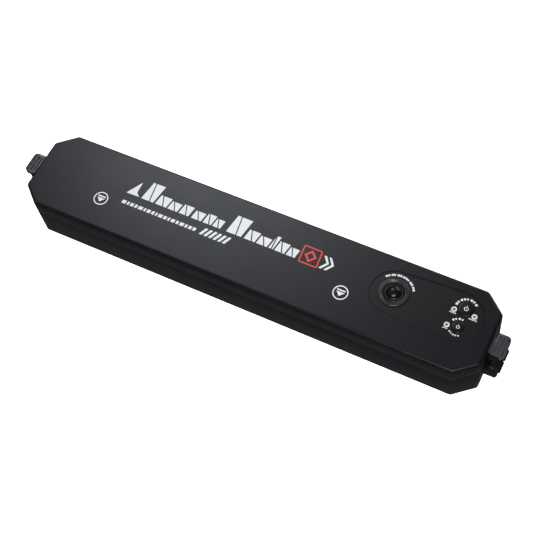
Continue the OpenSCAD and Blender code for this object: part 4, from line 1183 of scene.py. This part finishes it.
    @staticmethod
    def _chevron(x: float, z0: float, z1: float) -> Surface:
        """A chevron that points to the right, with its back corners at x."""
        low, high, stroke, reach = 2.4, 12.4, 1.9, 3.7
        rim = [(x, low), (x + stroke, low), (x + stroke + reach, 7.5), (x + stroke, high), (x, high),
               (x + reach, 7.5)]
        return prism(np.array(rim), z0, z1)

    def _red(self, z0: float, z1: float) -> Surface:
        """A rounded square frame, slightly leaning, with a plain diamond in it."""
        frame_plan = rounded_outline([(34.3, 1.3), (48.4, 1.2), (47.2, 14.7), (33.3, 14.8)], 1.6, 5)
        ring = swept_ring(frame_plan, [0, 0, 1.0, 1.0], [z0, z1, z1, z0])
        diamond = swept_ring(rounded_outline([(40.9, 3.2), (45.4, 8.0), (40.7, 12.8), (36.2, 8.0)], 0.4, 3),
                             [0, 0, 1.5, 1.5], [z0, z1, z1, z0])
        return Surface.joined([ring, diamond])


@dataclass
class Shells(SubAssembly):
    """The lid's frame, the base, the deck and the latches, with their moulded edges rounded.

    Args:
        tab_t: thickness of a latch's grey thumb tab; the lever under it is black.
    """

    tab_t: float = 3.1

    def build(self) -> None:
        """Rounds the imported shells' edges."""
        f = Finishes
        self.softened("lid_frame", f.BODY, 0.22)
        self.softened("base_shell", f.BODY, 0.22)
        self.softened("chamber_deck", f.INNER, 0.2)
        for node in ("left_latch", "right_latch"):
            latch = self.softened(node, f.LATCH, 0.28)
            latch.data.materials.append(self.shop.material(f.BRACKET))
            under_tab = (Extent.of(node).high[2] - self.tab_t) * MM
            for face in latch.data.polygons:
                face.material_index = int(face.center.z < under_tab)
        self.softened("power_inlet", f.INNER, 0.2)


@dataclass
class SoftParts(SubAssembly):
    """The foam gaskets, the silicone strip and the rubber feet.

    Args:
        foam_fill: how full the foam is; not used.
    """

    foam_fill: float = 1.0

    def build(self) -> None:
        """Builds the soft pieces."""
        for node, body in (("lower_gasket", "base"), ("upper_gasket", "lid")):
            self.piece(f"{node}_foam", self._gasket(Extent.of(node)), Finishes.FOAM, body, [node], "foam")
        strip = Extent.of("press_strip")
        plan = box_outline(*strip.low[:2], *strip.high[:2], 1.0, 6)
        bar = plate(plan, strip.low[2], strip.high[2], bottom=0.45)
        self.piece("silicone_strip", bar, Finishes.SILICONE, "lid", ["press_strip"], "press_silicone")
        self.piece("feet", self._feet(Extent.of("rubber_feet")), Finishes.FOOT, "base", ["rubber_feet"],
                   "foot_rubber")

    @staticmethod
    def _gasket(extent: Extent, width: float = 3.7, edge: float = 0.5) -> Surface:
        """A foam ring whose cross-section is a rectangle with rounded corners."""
        (x0, y0, z0), (x1, y1, z1) = extent.low, extent.high
        a = np.radians(np.linspace(0, 90, 5))
        c, s = edge * np.cos(a), edge * np.sin(a)
        insets = np.concatenate([edge - s[::-1], edge - c, width - edge + s, width - edge + c])
        heights = np.concatenate([z0 + edge - c[::-1], z1 - edge + s, z1 - edge + c, z0 + edge - s])
        return swept_ring(box_outline(x0, y0, x1, y1, 4.9, 12), insets, heights)

    @staticmethod
    def _feet(extent: Extent, radius: float = 5.0) -> Surface:
        """Four turned feet with a rounded edge and a shallow hollow in the middle."""
        (x0, y0, z0), (x1, y1, z1) = extent.low, extent.high
        profile = [(0, z0 + 0.5), (radius - 2.2, z0 + 0.5), (radius - 1.9, z0 + 0.1), (radius - 1.6, z0)]
        profile += arc_profile(radius - 0.5, z0 + 0.5, 0.5, -90, 0, 5)
        profile += [(radius, z1), (0, z1)]
        return Surface.joined([turned_on_lathe(profile, x, y, 48)
                               for x in (x0 + radius, x1 - radius) for y in (y0 + radius, y1 - radius)])


@dataclass
class Innards(SubAssembly):
    """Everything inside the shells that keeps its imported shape."""

    def build(self) -> None:
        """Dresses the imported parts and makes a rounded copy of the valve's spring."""
        f = Finishes
        self.dress_parts({
            f.STEEL: ("control_board_screws", "lid_screws", "lid_catches", "hinge_pins", "latch_pins",
                      "latch_springs", "pump_motor", "pump_screws", "motor_shaft", "power_board_screws",
                      "inlet_pins", "base_screws"),
            f.BLACK_WIRE: ("lid_cable_upper", "lid_cable_lower", "mains_leads"),
            f.INNER: ("vacuum_key_plunger", "seal_key_plunger"),
            f.BOARD: ("control_board", "power_board"),
            f.PUMP: ("pump_housing", "pump_head", "crank"),
            f.SEAL: ("valve_seal", "pump_diaphragm"),
            f.STEM: ("valve_stem",), f.LED: ("indicator_leds",), f.SWITCH: ("key_switches",),
            f.HOLDER: ("heater_holder",), f.STRIP: ("heating_strip",), f.TAPE: ("heater_tape",),
            f.BRASS: ("strip_terminals",), f.RED_WIRE: ("heater_leads",), f.FOOT: ("pump_pads",),
            f.HOSE: ("air_hose",), f.TRANSFORMER: ("board_transformer",),
            f.CAPACITOR: ("board_capacitors",), f.RELAY: ("board_relay",),
        })
        self._valve_spring()

    def _valve_spring(self) -> None:
        """A copy of the valve's spring with its edges rounded and a mesh of its own."""
        spring = Extent.of("valve_spring")
        coil = self.softened("valve_spring", Finishes.STEEL, 0.01, 1, 80.0)
        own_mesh(coil)


@dataclass(frozen=True)
class SoftBox:
    """A rectangular light that faces the object.

    Args:
        name: what it is called.
        place: its middle, in metres.
        size: its two sides, in metres.
        power: in watts.
        colour: linear.
    """

    name: str
    place: tuple[float, float, float]
    size: tuple[float, float]
    power: float
    colour: tuple[float, float, float] = (0.9, 0.94, 1.0)

    def hang(self) -> None:
        """Puts the light into the scene."""
        light = bpy.data.lights.new(self.name, "AREA")
        light.color, light.energy = self.colour, self.power
        light.shape, light.size, light.size_y = "RECTANGLE", *self.size
        holder = bpy.data.objects.new(self.name, light)
        bpy.context.scene.collection.objects.link(holder)
        holder.location = self.place
        holder.rotation_mode = "QUATERNION"
        holder.rotation_quaternion = (-Vector(self.place)).to_track_quat("-Z", "Y")


@dataclass
class Studio:
    """The pale floor, the soft lights and the camera.

    Args:
        datum: the object's levels.
        floor_r: radius of the floor, in millimetres.
        floor_glow: the floor's own brightness, which keeps it evenly pale.
        boxes: behind and above for the top to mirror, on the left, beside the camera, and low behind.
        sky: stops of the sky's brightness, from straight down at 0 to straight up at 1.
        lens: the camera's focal length for a 36 mm sensor, in millimetres.
        eye: the camera's place over the object's top, in metres.
        axes: the directions to the camera's right, upwards and backwards.
    """

    datum: Datum
    floor_r: float = 2500.0
    floor_glow: float = 1.0
    boxes: tuple[SoftBox, ...] = (
        SoftBox("key_light", (-0.53, 0.7, 1.05), (0.5, 0.36), 4.8),
        SoftBox("fill_light", (-1.3, -0.6, 0.8), (0.6, 0.5), 2.5),
        SoftBox("front_light", (0.5, -0.9, 1.0), (0.5, 0.5), 22.0, (1.0, 1.0, 1.0)),
        SoftBox("back_light", (0.35, 1.5, 0.4), (0.9, 0.4), 9.0),
    )
    sky: tuple[tuple[float, float], ...] = (
        (0.02, 0.09), (0.4, 0.07), (0.5, 0.012), (0.66, 0.012), (0.85, 0.075), (0.98, 0.12),
    )
    lens: float = 75.6
    eye: tuple[float, float, float] = (0.24199, -0.30057, 0.64709)
    axes: tuple[tuple[float, float, float], ...] = (
        (0.88612, 0.45127, -0.10561), (-0.35143, 0.8028, 0.48167), (0.30215, -0.3897, 0.86997),
    )

    def build(self) -> None:
        """Sets up the whole studio."""
        self._floor()
        for box in self.boxes:
            box.hang()
        self._sky()
        self._camera()

    def _floor(self) -> None:
        """A wide pale floor, evenly lit, that throws no reflection back on the object."""
        floor = plate(circle(self.floor_r, 96), -20.0, 0.0).to_object("studio_floor")
        paint = bpy.data.materials.new("pale floor")
        paint.use_nodes = True
        shader = paint.node_tree.nodes["Principled BSDF"]
        shader.inputs["Base Color"].default_value = (0.9, 0.9, 0.9, 1.0)
        shader.inputs["Roughness"].default_value = 0.9
        shader.inputs["Emission Color"].default_value = (1.0, 1.0, 1.0, 1.0)
        shader.inputs["Emission Strength"].default_value = self.floor_glow
        floor.data.materials.append(paint)
        floor.visible_glossy = False

    def _sky(self) -> None:
        """A slightly blue sky that is dark at the horizon."""
        world = bpy.data.worlds.new("studio_sky")
        world.use_nodes = True
        bench = Bench(world.node_tree)
        nodes = world.node_tree.nodes
        place, split, ramp = (nodes.new(kind) for kind in
                              ("ShaderNodeTexCoord", "ShaderNodeSeparateXYZ", "ShaderNodeValToRGB"))
        bench.put(split.inputs[0], place.outputs["Generated"])
        height = bench.maths("ADD", bench.maths("MULTIPLY", split.outputs["Z"], 0.5), 0.5)
        bench.put(ramp.inputs["Fac"], height)
        for spot, level in self.sky:
            stop = ramp.color_ramp.elements.new(spot)
            stop.color = (level, level * 1.02, level * 1.1, 1.0)
        for spare in (ramp.color_ramp.elements[-1], ramp.color_ramp.elements[0]):
            ramp.color_ramp.elements.remove(spare)
        bench.put(nodes["Background"].inputs["Color"], ramp.outputs["Color"])
        bpy.context.scene.world = world

    def _camera(self) -> None:
        """A camera high at the front right, looking down along the body."""
        lens = bpy.data.cameras.new("camera")
        lens.lens, lens.sensor_width = self.lens, 36.0
        lens.clip_start, lens.clip_end = 0.01, 20.0
        camera = bpy.data.objects.new("camera", lens)
        bpy.context.scene.collection.objects.link(camera)
        place = Vector(self.eye) + Vector((0, 0, self.datum.z_top * MM))
        camera.matrix_world = Matrix.Translation(place) @ Matrix(self.axes).transposed().to_4x4()
        bpy.context.scene.camera = camera


def main() -> None:
    """Builds the sub-assemblies in order."""
    logging.basicConfig(level=logging.INFO, format="%(name)s %(message)s")
    datum = Datum()
    shop = PaintShop(TextureGroups())
    Studio(datum).build()
    Innards(shop, datum).build()
    Shells(shop, datum).build()
    SoftParts(shop, datum).build()
    panel = ControlPanel(shop, datum)
    panel.build()
    LidTop(shop, datum, panel).build()
    bpy.context.scene.view_settings.view_transform = "Standard"


if __name__ == "__main__":
    main()
